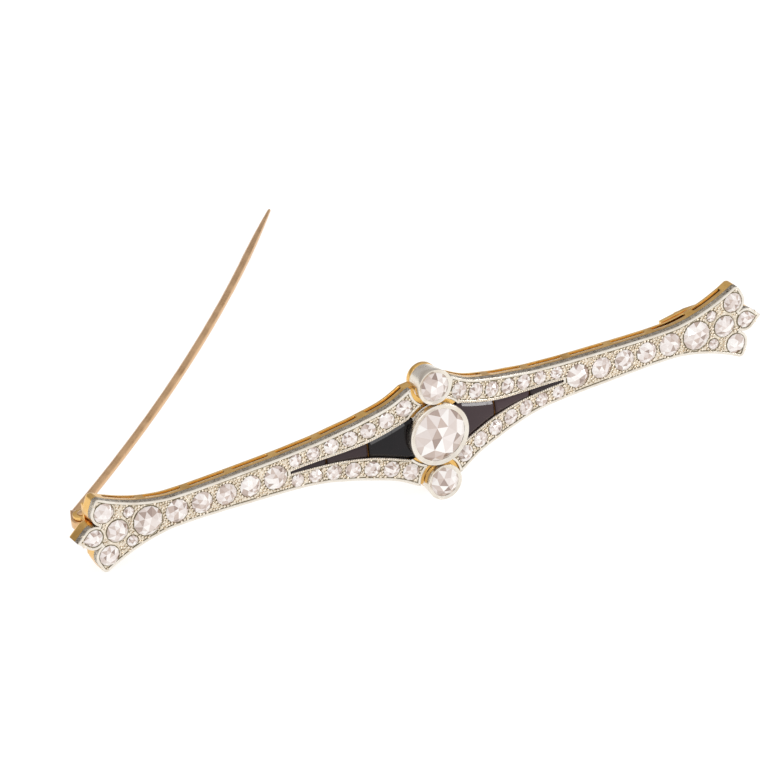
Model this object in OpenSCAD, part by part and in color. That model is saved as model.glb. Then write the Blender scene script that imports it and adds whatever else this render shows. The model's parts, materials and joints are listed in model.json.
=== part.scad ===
// Bar brooch: white-metal pave top on a pierced gold gallery, onyx inlays, three raised
// settings in the middle, a trefoil at each end, and a riveted pin standing open.
// Millimetres. The brooch is drawn face up (x along the bar, y up the face, z out of the face)
// and is then stood on its lower edge, leaning back on the open pin.

/* [Bar] */
// Length between the two pear points
bar_l = 80; // [72:1:92]
// Depth of the side wall, from the face to the back edge
wall_h = 2.3; // [2:0.1:3]
// Thickness of the white-metal top
top_t = 0.75; // [0.6:0.05:0.9]
// Thickness of the gold gallery wall
gallery_t = 0.5; // [0.35:0.05:0.7]
// Half width of the bar at its narrowest
waist_w = 1.66; // [1.5:0.05:2.2]
// Half width of the bar where it meets the collets
shoulder_w = 5.55; // [5:0.05:6.2]
// Rise of the face from the arms to the middle
face_rise = 1.6; // [0.8:0.1:2.2]
// Distance from the middle at which the face starts to rise
rise_x = 15; // [10:0.5:20]
// Width of the bright polished rim
rim_w = 0.28; // [0.2:0.02:0.4]
// Depth of the pave ground below the rim
ground_d = 0.12; // [0.06:0.02:0.2]

/* [Centre settings] */
// Outer radius of the main bezel at its rim
bezel_r = 3.37; // [3:0.05:3.8]
// Outer radius of the main bezel at its foot
bezel_foot_r = 2.5; // [2.2:0.05:2.8]
// Outer radius of each collet at its rim
collet_r = 1.94; // [1.7:0.02:2.2]
// Outer radius of each collet at its foot
collet_foot_r = 1.55; // [1.4:0.05:1.7]
// Height of the rims above the face of the arms
rim_z = 2.48; // [2.2:0.02:3]
// Clear space between the rims of bezel and collet
rim_gap = 0.15; // [0.1:0.01:0.4]
// Metal thickness of bezel and collets
bezel_t = 0.34; // [0.26:0.02:0.45]
// Bright gap between the white rails and the settings
collar_gap = 0.36; // [0.25:0.01:0.5]
// Extra room round the main bezel, where the gold below shows
collar_room = 0.35; // [0.2:0.01:0.5]
// Distance from the collet's rim to the shoulder of the outline
shoulder_in = 0.46; // [0.3:0.02:0.7]

/* [Onyx and rails] */
// Distance from the middle to the tip of the onyx
rail_l = 16; // [14:0.5:18]
// Half height of the onyx beside the bezel
onyx_h = 2.2; // [1.8:0.05:2.4]
// Distance from the middle to the first gold separator
sep_1 = 7.4; // [6.5:0.1:8.5]
// Distance from the middle to the second gold separator
sep_2 = 11.9; // [10.5:0.1:13]
// Width of each gold separator
sep_w = 0.14; // [0.1:0.01:0.25]
// Stones in each rail
rail_n = 7; // [5:1:8]
// Distance from the middle to the first rail stone
rail_x0 = 3.2; // [3:0.1:4]
// Distance from the last rail stone to the tip of the onyx
rail_tail = 0.7; // [0.5:0.05:1.2]

/* [Stones] */
// Space between neighbouring stones
stone_gap = 0.38; // [0.25:0.01:0.6]
// Stones in the single row of each arm, without the large last one
row_n = 5; // [4:1:6]
// Diameter of the large last stone of each arm
last_d = 3.2; // [2.6:0.1:3.4]
// Diameter of the middle stone of each trefoil
trefoil_d = 2.4; // [2:0.1:2.8]
// Diameter of the upper and lower stones of each trefoil
lobe_d = 2.2; // [1.8:0.1:2.5]
// Width of the pear stone
pear_d = 2; // [1.7:0.1:2.3]
// Length of the pear stone's point beyond its round end's centre
pear_point = 1.42; // [1.2:0.02:1.7]
// Diameter of the tiny stones beside each trefoil
tiny_d = 1.2; // [0.9:0.05:1.4]
// Length of the metal point beyond the round end's centre of a lobe
lobe_point = 2; // [1.8:0.01:2.3]
// Radius at the tip of a lobe
lobe_tip_r = 0.5; // [0.3:0.05:0.7]
// Depth of a stone's girdle below the face
seat_d = 0.16; // [0.12:0.02:0.3]
// Height of a stone's girdle band
girdle_h = 0.08; // [0.05:0.01:0.12]
// Height of a stone's crown as a share of its radius
crown_share = 0.36; // [0.28:0.02:0.42]
// Depth of a stone's pavilion as a share of its radius
depth_share = 0.8; // [0.7:0.05:0.9]
// Width of a stone's table as a share of the stone
table_share = 0.5; // [0.4:0.05:0.6]
// Distance of the star facets' points from the centre as a share of the radius
star_share = 0.74; // [0.68:0.02:0.8]

/* [Gallery slots] */
// Slots along each side of an arm
slot_n = 7; // [5:1:8]
// Metal left between two slots
slot_bridge = 0.85; // [0.6:0.05:1.2]
// Height of a slot
slot_h = 0.36; // [0.25:0.01:0.5]
// Metal below a slot, at the back edge
slot_rail = 0.47; // [0.35:0.01:0.6]

/* [Pin and hinge] */
// Diameter of the pin wire
pin_d = 0.9; // [0.7:0.05:1]
// Length of the pin from the eye to its point
pin_l = 72.8; // [66:0.2:74]
// Length of the tapered end
taper_l = 12; // [8:0.5:20]
// Diameter at the point
point_d = 0.34; // [0.2:0.02:0.4]
// Bend of the wire along its even part, in degrees
pin_bend = 9.8; // [4:0.1:14]
// Angle between the open wire at the hinge and the bar, in degrees
pin_open = 40.9; // [30:0.1:60]
// Distance of the wire's centreline from the rivet's, as the wire leaves the eye at its side
pin_set = 1.53; // [1.1:0.01:1.6]
// Radius of the pin's eye
eye_r = 1.22; // [1.1:0.01:1.3]
// Length of the flat neck between the eye's middle and the round wire
neck_l = 1.2; // [0.9:0.05:1.6]
// Distance of the hinge axis inward from the pear point
hinge_in = 2.6; // [2.2:0.1:3.4]
// Distance of the hinge axis behind the back edge
hinge_back = 1.9; // [1.7:0.05:2.4]
// Diameter of the rivet
rivet_d = 0.7; // [0.5:0.05:0.8]
// Diameter of the rivet heads
rivet_head_d = 1.04; // [0.9:0.02:1.2]
// Thickness of each hinge ear
ear_t = 0.42; // [0.3:0.02:0.6]
// Radius of the hinge ears
ear_r = 1; // [0.9:0.05:1.2]
// Thickness of the plates that carry hinge and catch
plate_t = 0.48; // [0.35:0.02:0.6]

/* [Catch] */
// Distance of the catch's inner end from the pear point
catch_in = 10.7; // [10:0.1:12]
// Length of the catch along the bar
catch_l = 5.1; // [4:0.1:6]
// Length of the hook along the bar
hook_l = 2.1; // [1.4:0.1:2.6]
// Outer radius of the hook
hook_r = 1.12; // [1:0.02:1.3]
// Wall of the hook
hook_t = 0.48; // [0.35:0.01:0.55]
// Height of the low guard in front of the hook
guard_h = 0.55; // [0.3:0.05:0.7]

/* [Clearances] */
// Gap between seated pieces
fit = 0.03; // [0.02:0.005:0.05]
// Gap between the metals that are soldered face to face
solder = 0.02; // [0.01:0.005:0.04]
// Side gap between the pin's eye and the ears
eye_gap = 0.05; // [0.03:0.01:0.08]

/* [Hidden] */
$fn = 48;
half = bar_l / 2;

// Face height over the arms: share of rise_x, share of face_rise
rise_tab = [[0, 1], [0.17, 0.92], [0.48, 0.52], [0.8, 0.1], [1, 0], [9, 0]];
// Inner outline: share of the way from shoulder to waist, share of the extra shoulder width
shoulder_tab = [[0, 1], [0.093, 0.68], [0.146, 0.563], [0.199, 0.473], [0.252, 0.383],
    [0.309, 0.306], [0.402, 0.19], [0.472, 0.139], [0.553, 0.1], [0.654, 0.07], [0.756, 0.046],
    [0.898, 0.015], [1, 0]];
// Outer outline: share of the way from waist to lobe, share of the extra lobe width
flare_tab = [[0, 0], [0.25, 0.02], [0.435, 0.13], [0.63, 0.34], [0.826, 0.65], [1, 1]];
// Onyx outline: share of the way from bezel to tip, share of onyx_h
onyx_tab = [[0, 1], [0.085, 0.82], [0.17, 0.65], [0.31, 0.42], [0.455, 0.27], [0.6, 0.18],
    [0.81, 0.11], [1, 0.05]];
// Sizes of the single row, from the onyx outward, as shares of the mean stone
row_tab = [1.08, 0.96, 0.96, 0.96, 1.04, 1];

// Trefoil: every stone is placed from its neighbour by the stones' radii and stone_gap
pear_x = half - pear_point - rim_w - 0.2;
trefoil_x = pear_x - pear_d / 2 - trefoil_d / 2 - stone_gap * 0.9;
lobe_a = 63;
lobe_s = trefoil_d / 2 + lobe_d / 2 + stone_gap;
lobe_x = trefoil_x + lobe_s * cos(lobe_a);
lobe_y = lobe_s * sin(lobe_a);
tiny_a = 132;
tiny_s = trefoil_d / 2 + tiny_d / 2 + stone_gap;
tiny_x = trefoil_x + tiny_s * cos(tiny_a);
tiny_y = tiny_s * sin(tiny_a);
last_s = last_d / 2 + tiny_d / 2 + stone_gap * 0.9;
last_x = tiny_x - sqrt(pow(last_s, 2) - pow(tiny_y, 2));
lobe_r = lobe_d / 2 + rim_w + 0.04;
lobe_tip_a = 70;
pear_r = pear_d / 2 + rim_w;
pear_hole = 0.82;
pear_ledge = (1 - pear_hole) * pear_d / 2 * depth_share + 2 * fit;

// Settings
collet_y = bezel_r + rim_gap + collet_r;
main_r = bezel_r - bezel_t - fit;
side_r = collet_r - bezel_t * 0.82 - fit;
main_drop = bezel_t * 0.8;
side_drop = bezel_t * 0.7;
foot_z = face_rise - wall_h;
bezel_slope = (bezel_r - bezel_foot_r) / (rim_z - foot_z);
collet_slope = (collet_r - collet_foot_r) / (rim_z - foot_z);
function bezel_at(z) = bezel_foot_r + bezel_slope * (z - foot_z);
function collet_at(z) = collet_foot_r + collet_slope * (z - foot_z);
collar_r = bezel_at(face_rise) + collar_gap + collar_room;
collet_collar_r = collet_at(face_rise) + collar_gap + collar_room * 0.34;

// Outline of the bar
shoulder_x = collet_r + shoulder_in;
waist_x = 27 / 40 * half;
flare_x = lobe_x - lobe_r * 0.45;
flare_w = lobe_y + lobe_r * 0.84;
function tab(x, t) = lookup(x, t);
function half_w(x) = x < shoulder_x ? shoulder_w
    : x < waist_x ? waist_w + (shoulder_w - waist_w) * tab((x - shoulder_x) / (waist_x - shoulder_x), shoulder_tab)
    : waist_w + (flare_w - waist_w) * tab((x - waist_x) / (flare_x - waist_x), flare_tab);
function face_z(x) = face_rise * tab(abs(x) / rise_x, rise_tab);
function face_tilt(x) = -atan((face_z(x + 0.4) - face_z(x - 0.4)) / 0.8);
onyx_x0 = bezel_at(face_rise) + fit;
function onyx_w(x) = onyx_h * tab((x - onyx_x0) / (rail_l - onyx_x0), onyx_tab);

// Single row: the stones share what the rails, the last stone and the gaps leave
row_x0 = rail_l + stone_gap;
row_x1 = last_x - last_d / 2 - stone_gap;
function row_sum(n) = n < 0 ? 0 : row_tab[n] + row_sum(n - 1);
row_unit = (row_x1 - row_x0 - (row_n - 1) * stone_gap) / row_sum(row_n - 1);
function row_x(i) = row_x0 + row_unit * (row_sum(i - 1) + row_tab[i] / 2) + i * stone_gap;
function row_r(i) = min(row_unit * row_tab[i] / 2, half_w(row_x(i)) - rim_w - 0.12);

// Rails: stones run along the middle of the lane between onyx and outline
rail_step = (rail_l - rail_tail - rail_x0) / (rail_n - 1);
function rail_x(i) = rail_x0 + i * rail_step;
function rail_y(i) = (half_w(rail_x(i)) + onyx_w(rail_x(i))) / 2;
function lane(i) = (half_w(rail_x(i)) - onyx_w(rail_x(i))) / 2;
function lane_cos(i) = cos(atan((rail_y(i) - rail_y(i + 1)) / rail_step));
web_z = max(top_t + solder, seat_d + 2 * fit + depth_share * max([for (i = [0:rail_n - 1]) rail_r(i)]));
function rail_r(i) = min(lane(i) * lane_cos(i) - rim_w * 0.9, rail_step / lane_cos(i) / 2 - stone_gap * 0.42);

// Slots
slot_x0 = collet_r + 0.7;
slot_x1 = lobe_x;
slot_pitch = (slot_x1 - slot_x0 + slot_bridge) / slot_n;

// Hinge, pin and catch, in the plane y = 0
hinge_x = -half + hinge_in;
hinge_z = -wall_h - hinge_back;
eye_t = pin_d + 0.04;
ear_y = eye_t / 2 + eye_gap;
arc_r = (pin_l - taper_l) / (pin_bend * PI / 180);
arc_cx = hinge_x - (arc_r + pin_set) * sin(pin_open);
arc_cz = hinge_z - (arc_r + pin_set) * cos(pin_open);
neck_in = pin_d / 2 - 0.03;
pin_end = pin_open + pin_bend;
arc_end_x = arc_cx + arc_r * sin(pin_end);
arc_end_z = arc_cz + arc_r * cos(pin_end);
point_x = arc_end_x + taper_l * cos(pin_end);
point_z = arc_end_z - taper_l * sin(pin_end);
catch_x = half - catch_in;
hook_z = hinge_z + 0.1;

// Stance: the lower collet's rim, the left lower lobe's point and the pin's point touch the
// surface, and the plane through them gives the upward direction
function unit(v) = v / norm(v);
lobe_tip_c = round_c(lobe_flank(0), lobe_tip(0), lobe_start(0), lobe_tip_r);
function touch_lobe(n) = [-lobe_tip_c[0], -lobe_tip_c[1], -wall_h] - lobe_tip_r * [n[0], n[1], 0] / norm([n[0], n[1]]);
function touch_collet(n) = [0, -collet_y, rim_z] - collet_r * [n[0], n[1], 0] / norm([n[0], n[1]]);
function touch_point(n) = [point_x, 0, point_z] - point_d / 2 * n;
function level(n) = unit(cross(touch_point(n) - touch_collet(n), touch_lobe(n) - touch_collet(n)));
up = level(level(level([0, 1, 0])));
along = unit([1, 0, 0] - up[0] * up);
back = cross(up, along);
reach = [[-half, 0, 0], [-half, 0, -wall_h], [half, 0, 0], [half, 0, -wall_h],
    [point_x, 0, point_z], [0, -collet_y - side_r * table_share, rim_z + side_r * crown_share - side_drop],
    [0, -collet_y - collet_r, rim_z], [0, 0, rim_z + main_r * crown_share - main_drop]];
mid_x = (min([for (p = reach) p * along]) + max([for (p = reach) p * along])) / 2;
mid_y = (min([for (p = reach) p * back]) + max([for (p = reach) p * back])) / 2;
floor_z = touch_collet(up) * up;

gold = [0.83, 0.65, 0.36];
white = [0.84, 0.84, 0.83];
stone = [0.75, 0.87, 0.95];
black = [0.1, 0.1, 0.12];

// Stands the drawn brooch on its three touching points
module stand() {
    multmatrix([
        [along[0], along[1], along[2], -mid_x],
        [back[0], back[1], back[2], -mid_y],
        [up[0], up[1], up[2], -floor_z],
        [0, 0, 0, 1]])
        children();
}

// A slab that follows the rise of the face, between two depths, over the 2D plan given
module slab(low, high) {
    xs = [for (t = rise_tab) if (t[0] <= 1) t[0] * rise_x];
    n = len(xs);
    top_line = concat([[-half - 2, high]], [for (i = [n - 1:-1:1]) [-xs[i], high + face_z(xs[i])]],
        [for (i = [0:n - 1]) [xs[i], high + face_z(xs[i])]], [[half + 2, high]]);
    low_line = concat([[half + 2, low]], [for (i = [n - 1:-1:0]) [xs[i], low + face_z(xs[i])]],
        [for (i = [1:n - 1]) [-xs[i], low + face_z(xs[i])]], [[-half - 2, low]]);
    intersection() {
        translate([0, 0, -wall_h - 3])
            linear_extrude(height = wall_h + face_rise + 8)
                children();
        rotate([90, 0, 0])
            linear_extrude(height = 4 * shoulder_w, center = true)
                polygon(concat(top_line, low_line));
    }
}

// Points along an arc
function arc(x, y, r, a0, a1, n) = [for (i = [0:n]) [x + r * cos(a0 + (a1 - a0) * i / n), y + r * sin(a0 + (a1 - a0) * i / n)]];

// Round end drawn out to a point at distance s towards +x
module drop(x, r, s) {
    t = acos(r / s);
    polygon(concat(arc(x, 0, r, t, 360 - t, 22), [[x + s, 0]]));
}

// Centre of the round of radius r that fills the corner t between the points a and b
function round_c(a, t, b, r) = t + unit(unit(a - t) + unit(b - t)) * r / sin(acos(unit(a - t) * unit(b - t)) / 2);

// Points of that round, from the side of a to the side of b
function round_tip(a, t, b, r, n) =
    let (c = round_c(a, t, b, r), h = r / tan(acos(unit(a - t) * unit(b - t)) / 2),
        p = t + unit(a - t) * h - c, q = t + unit(b - t) * h - c)
    arc(c[0], c[1], r, atan2(p[1], p[0]), atan2(q[1], q[0]), n);

// Upper lobe of the trefoil for an inset: radius, distance of its tip, tip, and where its round begins
function lobe_rl(inset) = lobe_r - inset;
function lobe_tip(inset) = [lobe_x, lobe_y] + lobe_point * lobe_rl(inset) / lobe_r * [cos(lobe_tip_a), sin(lobe_tip_a)];
function lobe_a0() = lobe_tip_a - acos(lobe_r / lobe_point);
function lobe_start(inset) = [lobe_x, lobe_y] + lobe_rl(inset) * [cos(lobe_a0()), sin(lobe_a0())];
function lobe_flank(inset) = [flare_x, flare_w - inset];

// Upper outline of the trefoil: tip and round of the upper lobe, then half of the pear
function trefoil_edge(inset) =
    let (rl = lobe_rl(inset), rp = pear_r - inset, sp = (half - pear_x) * rp / pear_r, tp = acos(rp / sp),
        a = atan2(-lobe_y, pear_x - lobe_x))
    concat(round_tip(lobe_flank(inset), lobe_tip(inset), lobe_start(inset), max(lobe_tip_r - inset, lobe_tip_r / 4), 6),
        arc(lobe_x, lobe_y, rl, lobe_a0(), a - atan(inset / rl), 10),
        arc(pear_x, 0, rp, a + 180 + atan(inset / rp), tp, 9), [[pear_x + sp, 0]]);

// Half of the bar's plan towards +x, drawn smaller by the inset
module arm_plan(inset, x0) {
    step = 1.1;
    n = ceil((flare_x - shoulder_x) / step);
    xs = concat([x0, shoulder_x], [for (i = [1:n]) shoulder_x + i * (flare_x - shoulder_x) / n]);
    edge = concat([for (x = xs) [x, half_w(x) - inset]], trefoil_edge(inset));
    last = len(edge) - 1;
    polygon(concat(edge, [for (i = [last - 1:-1:0]) [edge[i][0], -edge[i][1]]]));
}

// Onyx window towards +x, drawn larger by the margin
module onyx_plan(x0, x1, margin) {
    knots = [for (t = onyx_tab) onyx_x0 + t[0] * (rail_l - onyx_x0)];
    xs = concat([x0], [for (x = knots) if (x > x0 + 0.01 && x < x1 - 0.01) x], [x1]);
    polygon(concat([for (x = xs) [x, onyx_w(x) + margin]],
        [for (i = [len(xs) - 1:-1:0]) [xs[i], -onyx_w(xs[i]) - margin]]));
}

// Old-cut stone: table, star, main and upper girdle facets over a girdle, and a pavilion below.
// The girdle lies at z = 0 to girdle_h. With a tip, it is drawn out to a point towards +x.
module old_cut(r, tip) {
    t = tip > 0 ? acos(r / tip) : 0;
    stretch = [for (i = [0:15]) let (b = 22.5 * min(i, 16 - i)) b < t ? 1 / cos(b - t) : 1];
    rim = [for (i = [0:15]) r * stretch[i] * [cos(22.5 * i), sin(22.5 * i)]];
    table = [for (i = [0:7]) rim[2 * i] * table_share];
    star = [for (i = [0:7]) rim[2 * i + 1] * star_share];
    pts = concat([for (p = rim) [p[0], p[1], 0]], [for (p = rim) [p[0], p[1], girdle_h]],
        [for (p = star) [p[0], p[1], girdle_h + r * crown_share * 0.6]],
        [for (p = table) [p[0], p[1], girdle_h + r * crown_share]], [[0, 0, -r * depth_share]]);
    faces = concat([[for (i = [7:-1:0]) 40 + i]],
        [for (i = [0:15]) [(i + 1) % 16, i, 16 + i, 16 + (i + 1) % 16]],
        [for (i = [0:7]) [32 + i, 16 + 2 * i + 1, 16 + 2 * i]],
        [for (i = [0:7]) [32 + i, 16 + (2 * i + 2) % 16, 16 + 2 * i + 1]],
        [for (i = [0:7]) [40 + i, 40 + (i + 1) % 8, 32 + i]],
        [for (i = [0:7]) [40 + i, 32 + i, 16 + 2 * i]],
        [for (i = [0:7]) [40 + i, 16 + 2 * i, 32 + (i + 7) % 8]],
        [for (i = [0:15]) [i, (i + 1) % 16, 48]]);
    polyhedron(points = pts, faces = faces, convexity = 2);
}

// Puts a thing drawn at the face level onto the face at x, y
module on_face(x, y) {
    translate([x, y, face_z(x)])
        rotate([0, face_tilt(x), 0])
            children();
}

module face_stone(x, y, d, turn) {
    on_face(x, y)
        translate([0, 0, -seat_d])
            rotate([0, 0, turn])
                old_cut(d / 2, 0);
}

// Straight bore down to the girdle, then a cone that follows the pavilion through the top
module seat(x, y, d) {
    open = (d / 2 - (top_t - seat_d) / depth_share) * 1.02;
    low = max(open, d * 0.18);
    on_face(x, y) {
        translate([0, 0, -seat_d - fit])
            cylinder(h = seat_d + 2, r = d / 2 + fit);
        translate([0, 0, -seat_d - fit - (d / 2 - low) * depth_share])
            cylinder(h = (d / 2 - low) * depth_share, r1 = low + fit, r2 = d / 2 + fit);
        translate([0, 0, -top_t - 1])
            cylinder(h = top_t + 1 - seat_d - fit - (d / 2 - low) * depth_share + 0.02, r = low + fit);
    }
}

// White-metal top of the arm towards +x: plate, sunk pave ground, rims and seats
module arm_top() {
    difference() {
        slab(-top_t, 0)
            difference() {
                arm_plan(0, 0);
                circle(collar_r);
                translate([-2 * collar_r, -2 * shoulder_w])
                    square([2 * collar_r + collet_r * 0.5, 4 * shoulder_w]);
                for (s = [-1, 1])
                    translate([0, s * collet_y])
                        circle(collet_collar_r);
                onyx_plan(onyx_x0 * 0.8, rail_l, 0);
            }
        slab(-ground_d, 1)
            difference() {
                arm_plan(rim_w, collet_r);
                circle(collar_r + rim_w);
                for (s = [-1, 1])
                    translate([0, s * collet_y])
                        circle(collet_collar_r + rim_w);
                onyx_plan(onyx_x0 * 0.8, rail_l + rim_w, rim_w * 0.8);
            }
        for (i = [0:rail_n - 1])
            for (s = [-1, 1])
                seat(rail_x(i), s * rail_y(i), 2 * rail_r(i));
        for (i = [0:row_n - 1])
            seat(row_x(i), 0, 2 * row_r(i));
        seat(last_x, 0, last_d);
        seat(trefoil_x, 0, trefoil_d);
        for (s = [-1, 1]) {
            seat(lobe_x, s * lobe_y, lobe_d);
            seat(tiny_x, s * tiny_y, tiny_d);
        }
        translate([0, 0, -seat_d - pear_ledge])
            linear_extrude(height = 2)
                drop(pear_x, pear_d / 2 + fit, pear_point * (1 + 2 * fit / pear_d));
        translate([0, 0, -top_t - 1])
            linear_extrude(height = top_t + 2 - seat_d)
                drop(pear_x, pear_d / 2 * pear_hole, pear_point * pear_hole);
    }
}

module right_top() {
    color(white)
        arm_top();
}

module left_top() {
    color(white)
        rotate([0, 0, 180])
            arm_top();
}

// Gold: slotted side wall, web under the onyx and round the settings, rings at the collets
module gallery_arm() {
    difference() {
        slab(-wall_h, -top_t - solder)
            difference() {
                arm_plan(0, 0);
                arm_plan(gallery_t, -0.5);
            }
        for (i = [0:slot_n - 1])
            slab(-wall_h + slot_rail, -wall_h + slot_rail + slot_h)
                translate([slot_x0 + i * slot_pitch, -2 * shoulder_w])
                    square([slot_pitch - slot_bridge, 4 * shoulder_w]);
    }
    slab(-web_z - 0.3, -web_z)
        intersection() {
            union() {
                circle(collar_r + 0.9);
                onyx_plan(onyx_x0 * 0.6, rail_l + 0.3, 0.55);
                for (i = [0:2:rail_n - 2])
                    translate([rail_x(i) + rail_step / 2 - 0.2, -2 * shoulder_w])
                        square([0.4, 4 * shoulder_w]);
            }
            arm_plan(gallery_t * 0.5, 0);
        }
    for (x = [sep_1, sep_2])
        slab(-web_z - 0.1, -0.1)
            translate([x - sep_w / 2, -onyx_w(x) + fit])
                square([sep_w, 2 * onyx_w(x) - 2 * fit]);
}

module cone_cut(y, foot, slope) {
    translate([0, y, foot_z - 1])
        cylinder(h = rim_z - foot_z + 1, r1 = foot - slope + fit, r2 = foot + slope * (rim_z - foot_z) + fit, $fn = 96);
}

module gold_gallery() {
    color(gold)
        difference() {
            union() {
                gallery_arm();
                rotate([0, 0, 180])
                    gallery_arm();
                for (s = [-1, 1])
                    translate([0, s * collet_y, foot_z])
                        cylinder(h = 0.6, r = collet_foot_r + bezel_t);
            }
            cone_cut(0, bezel_foot_r, bezel_slope);
            cone_cut(collet_y, collet_foot_r, collet_slope);
            cone_cut(-collet_y, collet_foot_r, collet_slope);
        }
}

// Tapered setting: rim, conical seat for the stone and an open foot
module setting(foot, slope, wall, stone_r, drop) {
    top = rim_z - foot_z;
    lip = wall * 0.8;
    rotate_extrude($fn = 96)
        polygon([[foot - wall, 0], [foot, 0], [foot + slope * top, top],
            [stone_r + fit, top - 0.06], [stone_r + fit, top - drop - fit],
            [stone_r + fit - lip, top - drop - fit - lip * depth_share],
            [foot + slope * (top - drop) - wall * 1.9, top - drop - wall * 2.9]]);
}

module main_bezel() {
    color(white)
        translate([0, 0, foot_z])
            setting(bezel_foot_r, bezel_slope, bezel_t, main_r, main_drop);
}

module collet(y) {
    color(white)
        translate([0, y, foot_z])
            setting(collet_foot_r, collet_slope, bezel_t * 0.82, side_r, side_drop);
}

module upper_collet() {
    collet(collet_y);
}

module lower_collet() {
    collet(-collet_y);
}

module main_diamond() {
    color(stone)
        translate([0, 0, rim_z - main_drop])
            rotate([0, 0, 12])
                old_cut(main_r, 0);
}

module upper_diamond() {
    color(stone)
        translate([0, collet_y, rim_z - side_drop])
            rotate([0, 0, 20])
                old_cut(side_r, 0);
}

module lower_diamond() {
    color(stone)
        translate([0, -collet_y, rim_z - side_drop])
            rotate([0, 0, -8])
                old_cut(side_r, 0);
}

// One onyx piece towards +x between two stations
module onyx(x0, x1) {
    color(black)
        slab(-top_t + fit - solder, -0.05)
            difference() {
                onyx_plan(x0, x1, -fit);
                circle(bezel_at(face_rise) + 2 * fit);
            }
}

module right_onyx_inner() {
    onyx(onyx_x0 * 0.85, sep_1 - sep_w / 2 - fit);
}

module right_onyx_middle() {
    onyx(sep_1 + sep_w / 2 + fit, sep_2 - sep_w / 2 - fit);
}

module right_onyx_tip() {
    onyx(sep_2 + sep_w / 2 + fit, rail_l - 0.1);
}

module left_onyx_inner() {
    rotate([0, 0, 180])
        right_onyx_inner();
}

module left_onyx_middle() {
    rotate([0, 0, 180])
        right_onyx_middle();
}

module left_onyx_tip() {
    rotate([0, 0, 180])
        right_onyx_tip();
}

// Stones of one arm, s = -1 for the left and 1 for the right
module row_diamond(s, i) {
    color(stone)
        face_stone(s * row_x(i), 0, 2 * row_r(i), 15 + 37 * i + 20 * s);
}

module last_diamond(s) {
    color(stone)
        face_stone(s * last_x, 0, last_d, 8 + 25 * s);
}

module trefoil_diamond(s) {
    color(stone)
        face_stone(s * trefoil_x, 0, trefoil_d, 25 * s);
}

module lobe_diamond(s, t) {
    color(stone)
        face_stone(s * lobe_x, t * lobe_y, lobe_d, 40 * t + 12 * s);
}

module pear_diamond(s) {
    color(stone)
        translate([s * pear_x, 0, -seat_d])
            rotate([0, 0, s > 0 ? 0 : 180])
                old_cut(pear_d / 2, pear_point);
}

module tiny_diamonds(s) {
    color(stone)
        for (t = [-1, 1])
            face_stone(s * tiny_x, t * tiny_y, tiny_d, 10);
}

module rail_diamonds(s, t) {
    color(stone)
        for (i = [0:rail_n - 1])
            face_stone(s * rail_x(i), t * rail_y(i), 2 * rail_r(i), 23 * i);
}

// Plate across the gallery's back with two ears drilled for the rivet
module hinge_block() {
    color(gold)
        difference() {
            union() {
                translate([hinge_x - 0.6, 0.5 - lobe_y - lobe_r * 0.7, -wall_h - solder - plate_t])
                    cube([2.6, 2 * (lobe_y + lobe_r * 0.7 - 0.5), plate_t]);
                for (s = [-1, 1])
                    translate([0, s * (ear_y + ear_t / 2), 0]) {
                        translate([hinge_x, 0, hinge_z])
                            rotate([90, 0, 0])
                                cylinder(h = ear_t, r = ear_r, center = true);
                        translate([hinge_x - 0.6, -ear_t / 2, hinge_z])
                            cube([1.2 + ear_r * 0.4, ear_t, hinge_back - solder - plate_t / 2]);
                    }
            }
            translate([hinge_x, 0, hinge_z])
                rotate([90, 0, 0])
                    cylinder(h = 8, r = rivet_d / 2 + 0.02, center = true);
        }
}

module hinge_rivet() {
    color(gold)
        translate([hinge_x, 0, hinge_z])
            rotate([90, 0, 0]) {
                cylinder(h = 2 * (ear_y + ear_t) + 0.08, r = rivet_d / 2, center = true);
                for (s = [-1, 1])
                    translate([0, 0, s * (ear_y + ear_t + 0.02 + 0.07)])
                        cylinder(h = 0.14, r = rivet_head_d / 2, center = true);
            }
}

// Angle at which the line from a point p touches the eye, on its side s
function touch_a(p, s) = atan2(p[1], p[0]) + s * acos(eye_r / norm(p));

// Eye and flat neck, seen from the side with the wire running towards +x below the eye
module eye_plan() {
    outer = [neck_l, -pin_set - neck_in];
    inner = [neck_l + 0.3, -pin_set + neck_in];
    polygon(concat([outer, inner], arc(0, 0, eye_r, touch_a(inner, 1), touch_a(outer, -1) + 360, 18)));
}

module pin() {
    color(gold)
        difference() {
            union() {
                translate([hinge_x, 0, hinge_z])
                    rotate([90, 0, 0])
                        rotate([0, 0, -pin_open])
                            linear_extrude(height = eye_t, center = true)
                                eye_plan();
                translate([arc_cx, 0, arc_cz])
                    rotate([90, 0, 0])
                        rotate([0, 0, 90 - pin_end])
                            rotate_extrude(angle = pin_bend - neck_l / arc_r * 180 / PI, $fn = 720)
                                translate([arc_r, 0])
                                    circle(pin_d / 2, $fn = 24);
                translate([arc_end_x, 0, arc_end_z])
                    rotate([0, 90 + pin_end, 0])
                        rotate_extrude($fn = 24)
                            polygon(concat([[0, -0.05], [pin_d / 2 - 0.01, -0.05]],
                                [for (a = [0:22.5:67.5]) [point_d / 2 * cos(a), taper_l + point_d / 2 * sin(a)]],
                                [[0, taper_l + point_d / 2]]));
            }
            translate([hinge_x, 0, hinge_z])
                rotate([90, 0, 0])
                    cylinder(h = 2 * eye_t, r = rivet_d / 2 + fit, center = true);
        }
}

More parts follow.
